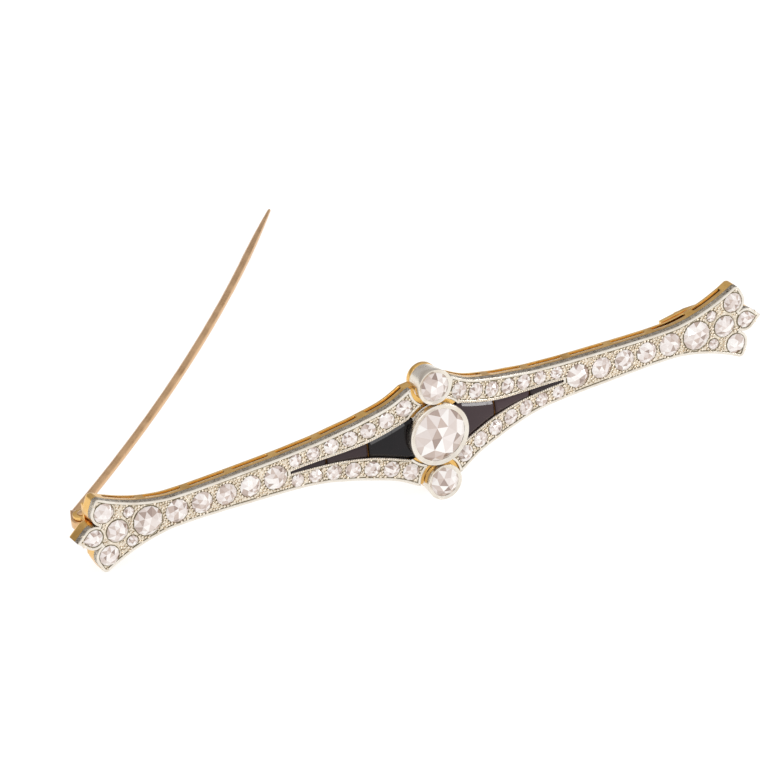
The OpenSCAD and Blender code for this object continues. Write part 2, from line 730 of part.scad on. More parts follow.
// Plate with a low guard and an open hook that takes the pin's end
module catch_hook() {
    x1 = catch_x + catch_l;
    hook_x = x1 - hook_l / 2;
    color(gold) {
        slab(-wall_h - solder - plate_t, -wall_h - solder)
            polygon([[catch_x, half_w(catch_x) - 0.1], [x1 - hook_l, half_w(x1 - hook_l) - 0.1],
                [x1, half_w(x1 - hook_l) - 0.1], [x1, 0.1 - half_w(x1 - hook_l)],
                [x1 - hook_l, 0.1 - half_w(x1 - hook_l)], [catch_x, 0.1 - half_w(catch_x)]]);
        translate([catch_x + 0.3, -0.8, -wall_h - solder - plate_t - guard_h])
            cube([catch_l - hook_l - 0.3, 1.6, guard_h + plate_t / 2]);
        difference() {
            union() {
                translate([hook_x, 0, hook_z])
                    rotate([0, 90, 0])
                        cylinder(h = hook_l, r = hook_r, center = true);
                translate([x1 - hook_l, -0.55, hook_z + hook_r * 0.7])
                    cube([hook_l, 1.1, -wall_h - solder - plate_t / 2 - hook_z - hook_r * 0.7]);
            }
            translate([hook_x, 0, hook_z])
                rotate([0, 90, 0])
                    cylinder(h = hook_l + 1, r = hook_r - hook_t, center = true);
            translate([hook_x - hook_l, -2 * hook_r, hook_z - 2 * hook_r])
                cube([2 * hook_l, 2 * hook_r + pin_d * 0.36, 2 * hook_r]);
        }
    }
}

stand() gold_gallery();
stand() left_top();
stand() right_top();
stand() main_bezel();
stand() upper_collet();
stand() lower_collet();
stand() main_diamond();
stand() upper_diamond();
stand() lower_diamond();
stand() left_onyx_inner();
stand() left_onyx_middle();
stand() left_onyx_tip();
stand() right_onyx_inner();
stand() right_onyx_middle();
stand() right_onyx_tip();
stand() row_diamond(-1, 0);  // left_row_diamond_1
stand() row_diamond(-1, 1);  // left_row_diamond_2
stand() row_diamond(-1, 2);  // left_row_diamond_3
stand() row_diamond(-1, 3);  // left_row_diamond_4
stand() row_diamond(-1, 4);  // left_row_diamond_5
stand() last_diamond(-1);  // left_row_diamond_last
stand() row_diamond(1, 0);  // right_row_diamond_1
stand() row_diamond(1, 1);  // right_row_diamond_2
stand() row_diamond(1, 2);  // right_row_diamond_3
stand() row_diamond(1, 3);  // right_row_diamond_4
stand() row_diamond(1, 4);  // right_row_diamond_5
stand() last_diamond(1);  // right_row_diamond_last
stand() trefoil_diamond(-1);  // left_trefoil_diamond
stand() lobe_diamond(-1, 1);  // left_upper_lobe_diamond
stand() lobe_diamond(-1, -1);  // left_lower_lobe_diamond
stand() pear_diamond(-1);  // left_pear_diamond
stand() tiny_diamonds(-1);  // left_tiny_diamonds
stand() trefoil_diamond(1);  // right_trefoil_diamond
stand() lobe_diamond(1, 1);  // right_upper_lobe_diamond
stand() lobe_diamond(1, -1);  // right_lower_lobe_diamond
stand() pear_diamond(1);  // right_pear_diamond
stand() tiny_diamonds(1);  // right_tiny_diamonds
stand() rail_diamonds(-1, 1);  // left_upper_rail_diamonds
stand() rail_diamonds(-1, -1);  // left_lower_rail_diamonds
stand() rail_diamonds(1, 1);  // right_upper_rail_diamonds
stand() rail_diamonds(1, -1);  // right_lower_rail_diamonds
stand() hinge_block();
stand() hinge_rivet();
stand() pin();
stand() catch_hook();
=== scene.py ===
import json
from math import acos, asin, atan, atan2, cos, degrees, hypot, pi, radians, sin, sqrt, tan

import bmesh
import bpy
import numpy as np
from bpy.props import FloatProperty, FloatVectorProperty, IntProperty, PointerProperty
from mathutils import Matrix, Vector
from mathutils.geometry import delaunay_2d_cdt


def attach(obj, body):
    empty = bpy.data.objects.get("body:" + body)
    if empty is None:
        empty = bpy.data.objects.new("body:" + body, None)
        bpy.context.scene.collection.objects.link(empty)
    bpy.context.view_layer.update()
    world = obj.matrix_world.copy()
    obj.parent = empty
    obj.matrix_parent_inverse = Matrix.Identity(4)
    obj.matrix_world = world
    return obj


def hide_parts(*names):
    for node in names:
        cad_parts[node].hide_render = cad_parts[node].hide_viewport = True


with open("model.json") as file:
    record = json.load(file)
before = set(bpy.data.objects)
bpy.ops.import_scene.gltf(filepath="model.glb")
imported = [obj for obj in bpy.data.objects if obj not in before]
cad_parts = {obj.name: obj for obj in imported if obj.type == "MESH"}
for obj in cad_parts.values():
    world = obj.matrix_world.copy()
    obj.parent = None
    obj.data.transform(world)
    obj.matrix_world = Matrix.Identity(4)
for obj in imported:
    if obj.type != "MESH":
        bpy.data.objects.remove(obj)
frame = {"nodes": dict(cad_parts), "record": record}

bl_info = {
    "name": "Bar brooch",
    "version": (1, 0, 0),
    "blender": (4, 5, 0),
    "location": "3D View > Sidebar > Brooch",
    "description": "Builds a jewelled bar brooch over its solid model",
    "category": "Add Mesh",
}

TO_M, TO_MM = 0.001, 1000
ARMS = ((1, "right"), (-1, "left"))
BOTH = (1, -1)

# The bar's own frame. Pieces are drawn in millimetres face up: x along the bar, y up the face,
# z out of the face. The hinge's axis and the back's direction in the record say how the bar stands.
HINGE = next(j for j in frame["record"]["behaviour"]["joints"] if j["name"] == "pin_hinge")
BACK = next(m for m in frame["record"]["mounts"] if m["name"] == "back_face")
AXIS_Y = Vector(HINGE["axis"]).normalized()
AXIS_X = AXIS_Y.cross(-Vector(BACK["axis"]).normalized()).normalized()
AXIS_Z = AXIS_X.cross(AXIS_Y).normalized()
TURN = Matrix((AXIS_X, AXIS_Y, AXIS_Z)).transposed()
HINGE_X, HINGE_Z = -37.4, -4.2
ORIGIN = Vector(HINGE["pos_m"]) - TURN @ (Vector((HINGE_X, 0, HINGE_Z)) * TO_M)

# Sizes of the solid model, in millimetres: bar and white top
HALF, WALL_H, TOP_T, GALLERY_T = 40.0, 2.3, 0.75, 0.5
WAIST_W, SHOULDER_W, FACE_RISE, RISE_X = 1.66, 5.55, 1.6, 15.0
RIM_W, GROUND_D = 0.28, 0.12
FIT, SOLDER = 0.03, 0.02
# centre settings and the collars of the white tops round them
BEZEL_R, BEZEL_FOOT, COLLET_R, COLLET_FOOT, RIM_Z = 3.37, 2.5, 1.94, 1.55, 2.48
RIM_GAP, BEZEL_T, COLLAR_GAP, COLLAR_ROOM, SHOULDER_IN = 0.15, 0.34, 0.36, 0.35, 0.46
# onyx, its separators, and the rails of small stones along it
RAIL_L, ONYX_H, SEP_1, SEP_2, SEP_W = 16.0, 2.2, 7.4, 11.9, 0.14
RAIL_N, RAIL_X0, RAIL_TAIL = 7, 3.2, 0.7
# single row and trefoil, with the directions in degrees in which its parts lie
GAP, ROW_N, LAST_D, TREFOIL_D, LOBE_D = 0.38, 5, 3.2, 2.4, 2.2
PEAR_D, PEAR_POINT, TINY_D, LOBE_POINT, LOBE_TIP_R, SEAT_D = 2.0, 1.42, 1.2, 2.0, 0.5, 0.16
LOBE_WAY, TINY_WAY, TIP_WAY = 63, 132, 70
# slots of the gallery
SLOT_N, SLOT_BRIDGE, SLOT_H, SLOT_RAIL = 7, 0.85, 0.36, 0.47
# pin, hinge and rivet; PIN_BEND and PIN_OPEN are in degrees
PIN_D, PIN_L, TAPER_L, POINT_D, PIN_BEND, PIN_OPEN = 0.9, 72.8, 12.0, 0.34, 9.8, 40.9
PIN_SET, EYE_R, NECK_L = 1.53, 1.22, 1.2
RIVET_D, RIVET_HEAD, EAR_T, PIN_PLAY = 0.7, 1.04, 0.42, 0.02

# Curves as (place, value) tables, both as shares of a length
RISE_TAB = [(0, 1), (0.17, 0.92), (0.48, 0.52), (0.8, 0.1), (1, 0), (9, 0)]
SHOULDER_TAB = [(0, 1), (0.093, 0.68), (0.146, 0.563), (0.199, 0.473), (0.252, 0.383), (0.309, 0.306),
                (0.402, 0.19), (0.472, 0.139), (0.553, 0.1), (0.654, 0.07), (0.756, 0.046),
                (0.898, 0.015), (1, 0)]
FLARE_TAB = [(0, 0), (0.25, 0.02), (0.435, 0.13), (0.63, 0.34), (0.826, 0.65), (1, 1)]
ONYX_TAB = [(0, 1), (0.085, 0.82), (0.17, 0.65), (0.31, 0.42), (0.455, 0.27), (0.6, 0.18), (0.81, 0.11),
            (1, 0.05)]
# widths of the row's stones to each other
ROW_TAB = [1.08, 0.96, 0.96, 0.96, 1.04]


def smooth_table(table):
    """Reads a table along a curve that keeps to its knots and has no kinks."""
    x, y = np.array(table, float).T
    d = np.diff(y) / np.diff(x)
    m = np.zeros_like(y)
    for i in range(1, len(x) - 1):
        m[i] = 0 if d[i - 1] * d[i] <= 0 else 2 * d[i - 1] * d[i] / (d[i - 1] + d[i])
    m[0], m[-1] = d[0], d[-1]

    def read(v):
        v = np.clip(np.asarray(v, float), x[0], x[-1])
        i = np.clip(np.searchsorted(x, v) - 1, 0, len(x) - 2)
        h = x[i + 1] - x[i]
        t = (v - x[i]) / h
        return ((2 * t**3 - 3 * t**2 + 1) * y[i] + (t**3 - 2 * t**2 + t) * h * m[i]
                + (3 * t**2 - 2 * t**3) * y[i + 1] + (t**3 - t**2) * h * m[i + 1])
    return read


RISE, SHOULDER, FLARE, ONYX = map(smooth_table, (RISE_TAB, SHOULDER_TAB, FLARE_TAB, ONYX_TAB))


def polar(r, a):
    """Where a radius r ends that points a degrees round from x."""
    return np.array((r * cos(radians(a)), r * sin(radians(a))))


# Trefoil, placed stone by stone from the pear's point inward
PEAR_X = HALF - PEAR_POINT - RIM_W - 0.2
TREFOIL_X = PEAR_X - PEAR_D / 2 - TREFOIL_D / 2 - GAP * 0.9
LOBE_X, LOBE_Y = polar(TREFOIL_D / 2 + LOBE_D / 2 + GAP, LOBE_WAY) + (TREFOIL_X, 0)
TINY_X, TINY_Y = polar(TREFOIL_D / 2 + TINY_D / 2 + GAP, TINY_WAY) + (TREFOIL_X, 0)
LAST_X = TINY_X - sqrt((LAST_D / 2 + TINY_D / 2 + GAP * 0.9) ** 2 - TINY_Y**2)
LOBE_R = LOBE_D / 2 + RIM_W + 0.04
PEAR_R = PEAR_D / 2 + RIM_W

# Settings: their walls, stones and taper, and how wide they are where they pass the face
COLLET_Y = BEZEL_R + RIM_GAP + COLLET_R
COLLET_T = BEZEL_T * 0.82
MAIN_R = BEZEL_R - BEZEL_T - FIT
SIDE_R = COLLET_R - COLLET_T - FIT
MAIN_DROP, SIDE_DROP = BEZEL_T * 0.8, BEZEL_T * 0.7
FOOT_Z = FACE_RISE - WALL_H
BEZEL_SLOPE = (BEZEL_R - BEZEL_FOOT) / (RIM_Z - FOOT_Z)
COLLET_SLOPE = (COLLET_R - COLLET_FOOT) / (RIM_Z - FOOT_Z)
BEZEL_MID = BEZEL_FOOT + BEZEL_SLOPE * (FACE_RISE - FOOT_Z)
COLLET_MID = COLLET_FOOT + COLLET_SLOPE * (FACE_RISE - FOOT_Z)
# the white collars stand a little nearer to the settings than the solid's
COLLAR_R = BEZEL_MID + COLLAR_GAP + COLLAR_ROOM * 0.4
COLLET_COLLAR = COLLET_MID + COLLAR_GAP + COLLAR_ROOM * 0.34
ONYX_X0 = BEZEL_MID + FIT

SHOULDER_X = COLLET_R + SHOULDER_IN
WAIST_X = 27 / 40 * HALF
FLARE_X = LOBE_X - LOBE_R * 0.45
FLARE_W = LOBE_Y + LOBE_R * 0.84


def face_z(x):
    """Height of the face, highest in the middle."""
    return FACE_RISE * RISE(np.abs(x) / RISE_X)


def half_w(x):
    """Half width of the bar between the middle and the trefoil."""
    x = np.asarray(x, float)
    inner = WAIST_W + (SHOULDER_W - WAIST_W) * SHOULDER((x - SHOULDER_X) / (WAIST_X - SHOULDER_X))
    outer = WAIST_W + (FLARE_W - WAIST_W) * FLARE((x - WAIST_X) / (FLARE_X - WAIST_X))
    return np.where(x < SHOULDER_X, SHOULDER_W, np.where(x < WAIST_X, inner, outer))


def onyx_w(x):
    """Half width of the onyx."""
    return ONYX_H * ONYX((np.asarray(x, float) - ONYX_X0) / (RAIL_L - ONYX_X0))


# Single row and rails
ROW_0, ROW_1 = RAIL_L + GAP, LAST_X - LAST_D / 2 - GAP
UNIT = (ROW_1 - ROW_0 - (ROW_N - 1) * GAP) / sum(ROW_TAB)
ROW_X = [ROW_0 + UNIT * (sum(ROW_TAB[:i]) + ROW_TAB[i] / 2) + i * GAP for i in range(ROW_N)]
ROW_R = [min(UNIT * t / 2, float(half_w(x)) - RIM_W - 0.12) for t, x in zip(ROW_TAB, ROW_X)]
STEP = (RAIL_L - RAIL_TAIL - RAIL_X0) / (RAIL_N - 1)
RAIL_X = [RAIL_X0 + i * STEP for i in range(RAIL_N)]


def rail_y(x):
    """Middle of a rail, between the onyx and the edge."""
    return float((half_w(x) + onyx_w(x)) / 2)


def rail_r(x):
    """Radius of a rail's stone, as large as the rail's width and spacing allow."""
    c = cos(atan((rail_y(x) - rail_y(x + STEP)) / STEP))
    return min(float(half_w(x) - onyx_w(x)) / 2 * c - RIM_W * 0.9, STEP / c / 2 - GAP * 0.42)


# Depth of the web under the face, and the stones of both arms' row and rails as (x, y, radius)
WEB_Z = max(TOP_T + SOLDER, SEAT_D + 2 * FIT + 0.8 * max(rail_r(x) for x in RAIL_X))
ROW = [(x, 0, r) for x, r in zip(ROW_X, ROW_R)]
RAILS = [(x, s * rail_y(x), rail_r(x)) for x in RAIL_X for s in BOTH]


def linear(code):
    """Turns an sRGB hex colour into the linear colour that a shader reads."""
    rgb = [int(code[i:i + 2], 16) / 255 for i in (1, 3, 5)]
    return [c / 12.92 if c <= 0.04045 else ((c + 0.055) / 1.055) ** 2.4 for c in rgb] + [1.0]


LENGTH = {"unit": "LENGTH", "precision": 5}
COLOUR = {"subtype": "COLOR", "size": 4, "min": 0, "max": 1}


class BroochLooks(bpy.types.PropertyGroup):
    """Sizes and colours of the finish, over the solid model's own sizes"""
    edge: FloatProperty(name="Edge rounding", default=0.00007, **LENGTH,
                        description="Radius that polishing leaves on the metal's edges")
    grain_r: FloatProperty(name="Grain radius", default=0.00017, **LENGTH,
                           description="Radius of the grains that hold the small stones")
    bead_r: FloatProperty(name="Bead radius", default=0.00011, **LENGTH,
                          description="Radius of the millegrain beads beside the onyx")
    bead_step: FloatProperty(name="Bead spacing", default=0.00025, **LENGTH,
                             description="Distance between two millegrain beads")
    table: FloatProperty(name="Table", default=0.48, subtype="FACTOR", min=0.3, max=0.6,
                         description="Width of a stone's table as a share of the stone")
    crown: FloatProperty(name="Crown", default=0.36, subtype="FACTOR", min=0.2, max=0.5,
                         description="Height of a stone's crown as a share of its radius")
    seed: IntProperty(name="Seed", default=7, description="Number that settles how grains and facets vary")
    gold: FloatVectorProperty(name="Gallery gold", default=linear("#efc378"), **COLOUR,
                              description="Colour of the yellow gold")
    pin_gold: FloatVectorProperty(name="Pin gold", default=linear("#e3bd92"), **COLOUR,
                                  description="Colour of the pin's gold")
    white: FloatVectorProperty(name="White metal", default=linear("#e8e2d7"), **COLOUR,
                               description="Colour of the platinum")
    onyx: FloatVectorProperty(name="Onyx", default=linear("#050507"), **COLOUR,
                              description="Colour of the black inlay")
    floor: FloatVectorProperty(name="Floor", default=linear("#9c9c9c"), **COLOUR,
                               description="Colour of the floor")


def looks():
    return bpy.context.scene.brooch_looks


def add(tree, kind, settings=None, links=None, stops=()):
    """Adds one node, sets its fields, sockets and ramp stops, and links the sockets that links names
    to another node's first output or to a given output."""
    node = tree.nodes.new(kind)
    for key, value in (settings or {}).items():
        if isinstance(key, int) or key in node.inputs:
            node.inputs[key].default_value = value
        else:
            setattr(node, key, value)
    for key, source in (links or {}).items():
        tree.links.new(source.outputs[0] if isinstance(source, bpy.types.Node) else source, node.inputs[key])
    for i, (place, colour) in enumerate(stops):
        # a new ramp has two stops of its own
        stop = node.color_ramp.elements[i] if i < 2 else node.color_ramp.elements.new(place)
        stop.position, stop.color = place, colour
    return node


def link(name, data):
    """Puts a new object in the scene."""
    obj = bpy.data.objects.new(name, data)
    bpy.context.scene.collection.objects.link(obj)
    return obj


def material(name, pattern):
    """Gives the material of that name. When it is new, pattern adds its nodes, from the tree and the place
    on the object in metres, and returns the settings and links of its surface."""
    mat = bpy.data.materials.get(name)
    if mat is None:
        mat = bpy.data.materials.new(name)
        mat.use_nodes = True
        tree = mat.node_tree
        tree.nodes.clear()
        place = add(tree, "ShaderNodeTexCoord").outputs["Object"]
        surface = add(tree, "ShaderNodeBsdfPrincipled", *pattern(tree, place))
        add(tree, "ShaderNodeOutputMaterial", {}, {0: surface})
    return mat


def metal(name, colour, shade, rough, wear_mm, mark_mm, mark_depth):
    """A worked precious metal: patches of tone and polish wear_mm wide, tool marks mark_mm wide."""
    def pattern(tree, place):
        wear = add(tree, "ShaderNodeTexNoise", {"Scale": TO_MM / wear_mm, "Detail": 4, "Roughness": 0.6},
                   {"Vector": place})
        tone = add(tree, "ShaderNodeValToRGB", {}, {"Fac": wear}, [(0.3, shade), (0.62, colour)])
        # the noise keeps mostly between 0.35 and 0.65
        polish = add(tree, "ShaderNodeMapRange", {"From Min": 0.35, "From Max": 0.65,
                     "To Min": rough * 0.65, "To Max": rough * 1.5}, {"Value": wear})
        mark = add(tree, "ShaderNodeTexNoise", {"Scale": TO_MM / mark_mm, "Detail": 3, "Roughness": 0.7},
                   {"Vector": place})
        bump = add(tree, "ShaderNodeBump", {"Strength": 0.6, "Distance": mark_depth * TO_M}, {"Height": mark})
        return {"Metallic": 1.0}, {"Base Color": tone, "Roughness": polish, "Normal": bump}
    return material(name, pattern)


def polished_platinum():
    # Platinum, filed and burnished bright: a warm white with soft, slightly uneven reflections.
    return metal("Polished platinum", looks().white, linear("#ddd3c4"), 0.24, 1.6, 0.5, 0.002)


def grained_platinum():
    # Platinum raised into grains with a graver: ivory from the light caught between the grains.
    return metal("Grained platinum", linear("#efe5d5"), linear("#c3b59e"), 0.28, 0.5, 0.2, 0.008)


def groove_shade_platinum():
    # Platinum painted dark with the shade that falls in the groove round a stone: a thin olive-brown line of
    # painted shade.
    return metal("Platinum with painted groove shade", linear("#8d8268"), linear("#5f5642"), 0.5, 0.4, 0.1, 0.01)


def polished_gold():
    # Eighteen carat yellow gold, sawn, filed and polished: warm, with darker patches of wear.
    return metal("Polished yellow gold", looks().gold, linear("#d8a95c"), 0.22, 1.8, 0.5, 0.004)


def shade_painted_gold():
    # Yellow gold painted a matt dark brown: painted shade inside the sawn slots and in the gaps between the
    # onyx pieces.
    return metal("Yellow gold painted with shade", linear("#7a5324"), linear("#4f3310"), 0.5, 0.6, 0.2, 0.01)


def drawn_gold():
    # Hard nine carat gold wire, drawn and burnished: duller and pinker than the gallery.
    return metal("Drawn gold wire", looks().pin_gold, linear("#d2a87a"), 0.3, 3.0, 0.6, 0.002)


def cut_diamond():
    # Diamond, cut in large facets and polished: each facet is painted its own flat tone, from white to tan
    # and brown, as a painted reflection of what the stone mirrors and shows through.
    def pattern(tree, place):
        facet = add(tree, "ShaderNodeAttribute", {"attribute_name": "facet"})
        stops = ((0.0, "#fffcf7"), (0.3, "#f2e9e4"), (0.6, "#dfd1c9"), (0.82, "#c3ab9c"), (1.0, "#866755"))
        tone = add(tree, "ShaderNodeValToRGB", {}, {"Fac": facet.outputs["Fac"]},
                   [(at, linear(code)) for at, code in stops])
        return {"IOR": 2.42, "Roughness": 0.03, "Transmission Weight": 0.12}, {"Base Color": tone}
    return material("Cut diamond", pattern)


def polished_onyx():
    # Black onyx, lapped flat and polished: near black, with a sharp faint reflection, tiny pits and a painted
    # brown reflection on some pieces.
    def pattern(tree, place):
        cloud = add(tree, "ShaderNodeTexNoise", {"Scale": TO_MM / 2.5, "Detail": 5}, {"Vector": place})
        black = add(tree, "ShaderNodeValToRGB", {}, {"Fac": cloud},
                    [(0.35, looks().onyx), (0.7, linear("#150e11"))])
        # a painted brown reflection, stronger on some pieces than on others
        brown = add(tree, "ShaderNodeAttribute", {"attribute_name": "facet"})
        tone = add(tree, "ShaderNodeMix", {"data_type": "RGBA", 7: linear("#4a383b")},
                   {0: brown.outputs["Fac"], 6: black})  # 6 and 7 are the two colours, 0 the share
        pits = add(tree, "ShaderNodeTexNoise", {"Scale": TO_MM / 0.3, "Detail": 2}, {"Vector": place})
        rough = add(tree, "ShaderNodeMapRange",
                    {"From Min": 0.55, "From Max": 0.75, "To Min": 0.05, "To Max": 0.3}, {"Value": pits})
        return ({"IOR": 1.54, "Specular IOR Level": 0.24},
                {"Base Color": tone.outputs[2], "Roughness": rough})
    return material("Polished black onyx", pattern)


def white_card():
    # Matt white card, lit from below too, so that it stays white under the brooch.
    def pattern(tree, place):
        fibre = add(tree, "ShaderNodeTexNoise", {"Scale": TO_MM / 6, "Detail": 3}, {"Vector": place})
        tone = add(tree, "ShaderNodeValToRGB", {}, {"Fac": fibre},
                   [(0.3, linear("#989898")), (0.7, looks().floor)])
        return ({"Roughness": 0.9, "Specular IOR Level": 0.1, "Emission Color": (1, 1, 1, 1),
                 "Emission Strength": 0.82}, {"Base Color": tone})
    return material("Matt white card", pattern)


# Corners nearer to each other than this, in metres, become one
MERGE = 1e-7


class Shape:
    """Corners and faces of one piece in the bar's millimetres; side -1 turns it half round."""

    def __init__(self, side=1):
        self.side = side
        self.points, self.faces, self.finish, self.facet = [], [], [], []
        self.count = 0

    def add(self, points, faces, finish=0, facet=0.5):
        """Takes in a part; finish is its material's number, facet the tone of its faces, which the stones and
        the onyx paint as a reflection.
        """
        points = np.array(points, float)
        points[:, :2] *= self.side
        self.points.append(points)
        self.faces += [[i + self.count for i in f] for f in faces]
        self.finish += [finish] * len(faces)
        self.facet += np.broadcast_to(facet, len(faces)).tolist()
        self.count += len(points)

    def block(self, xs, ys, zs, finish=0):
        """Takes in a straight block between two values each of x, y and z."""
        self.add([(x, y, z) for x in xs for y in ys for z in zs],
                 [(0, 1, 3, 2), (4, 6, 7, 5), (0, 4, 5, 1), (2, 3, 7, 6), (0, 2, 6, 4), (1, 5, 7, 3)], finish)

    def build(self, name, materials, nodes, sharp, flat=(), body="brooch"):
        """Makes the object; edges over sharp degrees stay sharp, and finishes in flat are shaded flat."""
        pts = np.concatenate(self.points) * TO_M @ np.array(TURN).T + np.array(ORIGIN)
        mesh = bpy.data.meshes.new(name)
        mesh.from_pydata(pts.tolist(), [], self.faces)
        for m in materials:
            mesh.materials.append(m)
        mesh.polygons.foreach_set("material_index", self.finish)
        facet = mesh.attributes.new("facet", "FLOAT", "FACE")
        facet.data.foreach_set("value", np.array(self.facet, np.float32))
        bm = bmesh.new()
        bm.from_mesh(mesh)
        bmesh.ops.remove_doubles(bm, verts=bm.verts, dist=MERGE)
        bmesh.ops.dissolve_degenerate(bm, edges=bm.edges, dist=MERGE)
        bmesh.ops.recalc_face_normals(bm, faces=bm.faces)
        bm.to_mesh(mesh)
        bm.free()
        mesh.shade_smooth()
        mesh.set_sharp_from_angle(angle=radians(sharp))
        mesh.polygons.foreach_set("use_smooth", [p.material_index not in flat for p in mesh.polygons])
        obj = link(name, mesh)
        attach(obj, body)
        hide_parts(*nodes)


def inward(path, closed):
    """Normals to the left of a path, lengthened at its corners so that an inset keeps its width."""
    path = np.asarray(path, float)
    d = np.roll(path, -1, 0) - path if closed else np.diff(path, axis=0)
    n = np.stack([-d[:, 1], d[:, 0]], 1) / np.linalg.norm(d, axis=1)[:, None]
    if closed:
        m = n + np.roll(n, 1, 0)
    else:
        m = np.concatenate([n[:1], n[1:] + n[:-1], n[-1:]])
        n = np.concatenate([n, n[-1:]])
    m /= np.linalg.norm(m, axis=1)[:, None]
    return m / np.clip((m * n).sum(1), 0.6, 1)[:, None]


def soft_corner(x, z, dx, dz):
    """A section's corner, worn to a small round that starts dx before it and ends dz past it."""
    return [(x + dx, z), (x + dx * 0.3, z + dz * 0.3), (x, z + dz)]


def strip(a, b, low, high):
    """Section of a thin strip between the insets or radii a and b."""
    return [(a, low), (a, high), (b, high), (b, low)]


def tube(count, m, closed):
    """Faces of a tube of count rings with m corners each; closed joins its ends, or else caps close them."""
    faces = []
    for i in range(count if closed else count - 1):
        a, b = i * m, (i + 1) % count * m
        faces += [(a + j, b + j, b + (j + 1) % m, a + (j + 1) % m) for j in range(m)]
    if not closed:
        faces += [tuple(range(m)), tuple(range((count - 1) * m, count * m))]
    return faces


def sweep(path, section):
    """Runs a closed section of (inset, height) pairs round a closed path on the face."""
    path = np.asarray(path, float)
    n = inward(path, True)
    pts = np.zeros((len(path), len(section), 3))
    for j, (inset, z) in enumerate(section):
        pts[:, j, :2] = path + n * inset
        pts[:, j, 2] = face_z(pts[:, j, 0]) + z
    return pts.reshape(-1, 3), tube(len(path), len(section), True)


def lathe(section, at, steps, axis="z"):
    """Turns a closed section of (radius, height) pairs round an axis through a point."""
    a = np.arange(steps) * 2 * pi / steps
    r, z = np.array(section, float).T
    pts = np.stack([np.outer(np.cos(a), r), np.outer(np.sin(a), r), np.tile(z, (steps, 1))], 2)
    if axis == "y":
        pts = pts[:, :, [0, 2, 1]]
    return pts.reshape(-1, 3) + np.array(at, float), tube(steps, len(section), True)


def plate(loops, keep, top, low):
    """A sheet from top to low under the face: loops are its edges, keep says which parts stay."""
    verts, edges = [], []
    for loop, closed in loops:
        base = len(verts)
        verts += [Vector(p) for p in np.asarray(loop, float)[:, :2].tolist()]
        k = len(verts) - base
        edges += [(base + i, base + (i + 1) % k) for i in range(k if closed else k - 1)]
    corners, _, cells, *_ = delaunay_2d_cdt(verts, edges, [], 0, 1e-6)
    xy = np.array([v[:] for v in corners])
    tri = np.array([f for f in cells if len(f) == 3])
    mid = xy[tri].mean(1)
    used, tri = np.unique(tri[keep(mid[:, 0], mid[:, 1])], return_inverse=True)
    xy, tri = xy[used], tri.reshape(-1, 3)
    n = len(xy)
    sides = [np.column_stack([xy, face_z(xy[:, 0]) - depth]) for depth in (top, low)]
    seen = {e for a, b, c in tri for e in ((a, b), (b, c), (c, a))}
    rim = [e for a, b, c in tri for e in ((a, b), (b, c), (c, a)) if (e[1], e[0]) not in seen]
    faces = [(a, b, c) for a, b, c in tri] + [(c + n, b + n, a + n) for a, b, c in tri]
    faces += [(b, a, a + n, b + n) for a, b in rim]
    return np.concatenate(sides), [tuple(int(i) for i in f) for f in faces]


def beads(shape, centres, radius, squat, rng):
    """Small round grains set on the metal; each is a dome with its foot sunk in the ground."""
    k = 7
    rings = [(1.0, -0.5), (0.97, 0.15), (0.72, 0.68), (0.3, 0.95)]
    turns = np.arange(k) * 2 * pi / k
    dome = np.array([(r * cos(t), r * sin(t), z) for r, z in rings for t in turns] + [(0, 0, 1.0)])
    faces = []
    for j in range(len(rings) - 1):
        a, b = j * k, (j + 1) * k
        faces += [(a + i, a + (i + 1) % k, b + (i + 1) % k, b + i) for i in range(k)]
    top = (len(rings) - 1) * k
    faces += [(top + i, top + (i + 1) % k, top + k) for i in range(k)]
    for c in centres:
        s = radius * rng.uniform(0.85, 1.12)
        shape.add(dome * (s, s, s * squat) + np.array(c), faces, GRAINED)


def arc(x, y, r, start, end, n):
    """n points of an arc between two directions in degrees."""
    t = np.radians(np.linspace(start, end, n))
    return np.column_stack([x + r * np.cos(t), y + r * np.sin(t)])


def circle(x, y, r, n):
    return arc(x, y, r, 0, 360, n + 1)[:-1]


def trefoil_edge():
    """Upper half of the right trefoil's edge, from the upper lobe's tip to the pear's point."""
    start = TIP_WAY - degrees(acos(LOBE_R / LOBE_POINT))
    end = degrees(atan2(-LOBE_Y, PEAR_X - LOBE_X))
    # the lobe's tip, filled with a small round between its two flanks
    tip = polar(LOBE_POINT, TIP_WAY) + (LOBE_X, LOBE_Y)
    u = np.array((FLARE_X, FLARE_W)) - tip
    v = polar(LOBE_R, start) + (LOBE_X, LOBE_Y) - tip
    u, v = u / np.linalg.norm(u), v / np.linalg.norm(v)
    bend = acos(float(u @ v)) / 2
    c = tip + (u + v) / np.linalg.norm(u + v) * LOBE_TIP_R / sin(bend)
    ends = [tip + w * LOBE_TIP_R / tan(bend) - c for w in (u, v)]
    first, last = [degrees(atan2(p[1], p[0])) for p in ends]
    pear_end = degrees(acos(PEAR_R / (HALF - PEAR_X)))
    arcs = (arc(*c, LOBE_TIP_R, first, last, 8), arc(LOBE_X, LOBE_Y, LOBE_R, start, end, 16),
            arc(PEAR_X, 0, PEAR_R, end + 180, pear_end, 14))
    return np.concatenate(arcs + ([[HALF, 0]],)).tolist()


def arm_edge(xs):
    """Upper edge of the right arm over the stations xs, round the trefoil, and back along the lower edge."""
    upper = [(x, float(half_w(x))) for x in xs]
    tip = trefoil_edge()
    shoulder, first = np.array(upper[-1]), np.array(tip[0])
    upper += [tuple(shoulder * (1 - t) + first * t) for t in (0.25, 0.5, 0.75)] + tip
    return np.array(upper + [(x, -y) for x, y in upper[-2::-1]])


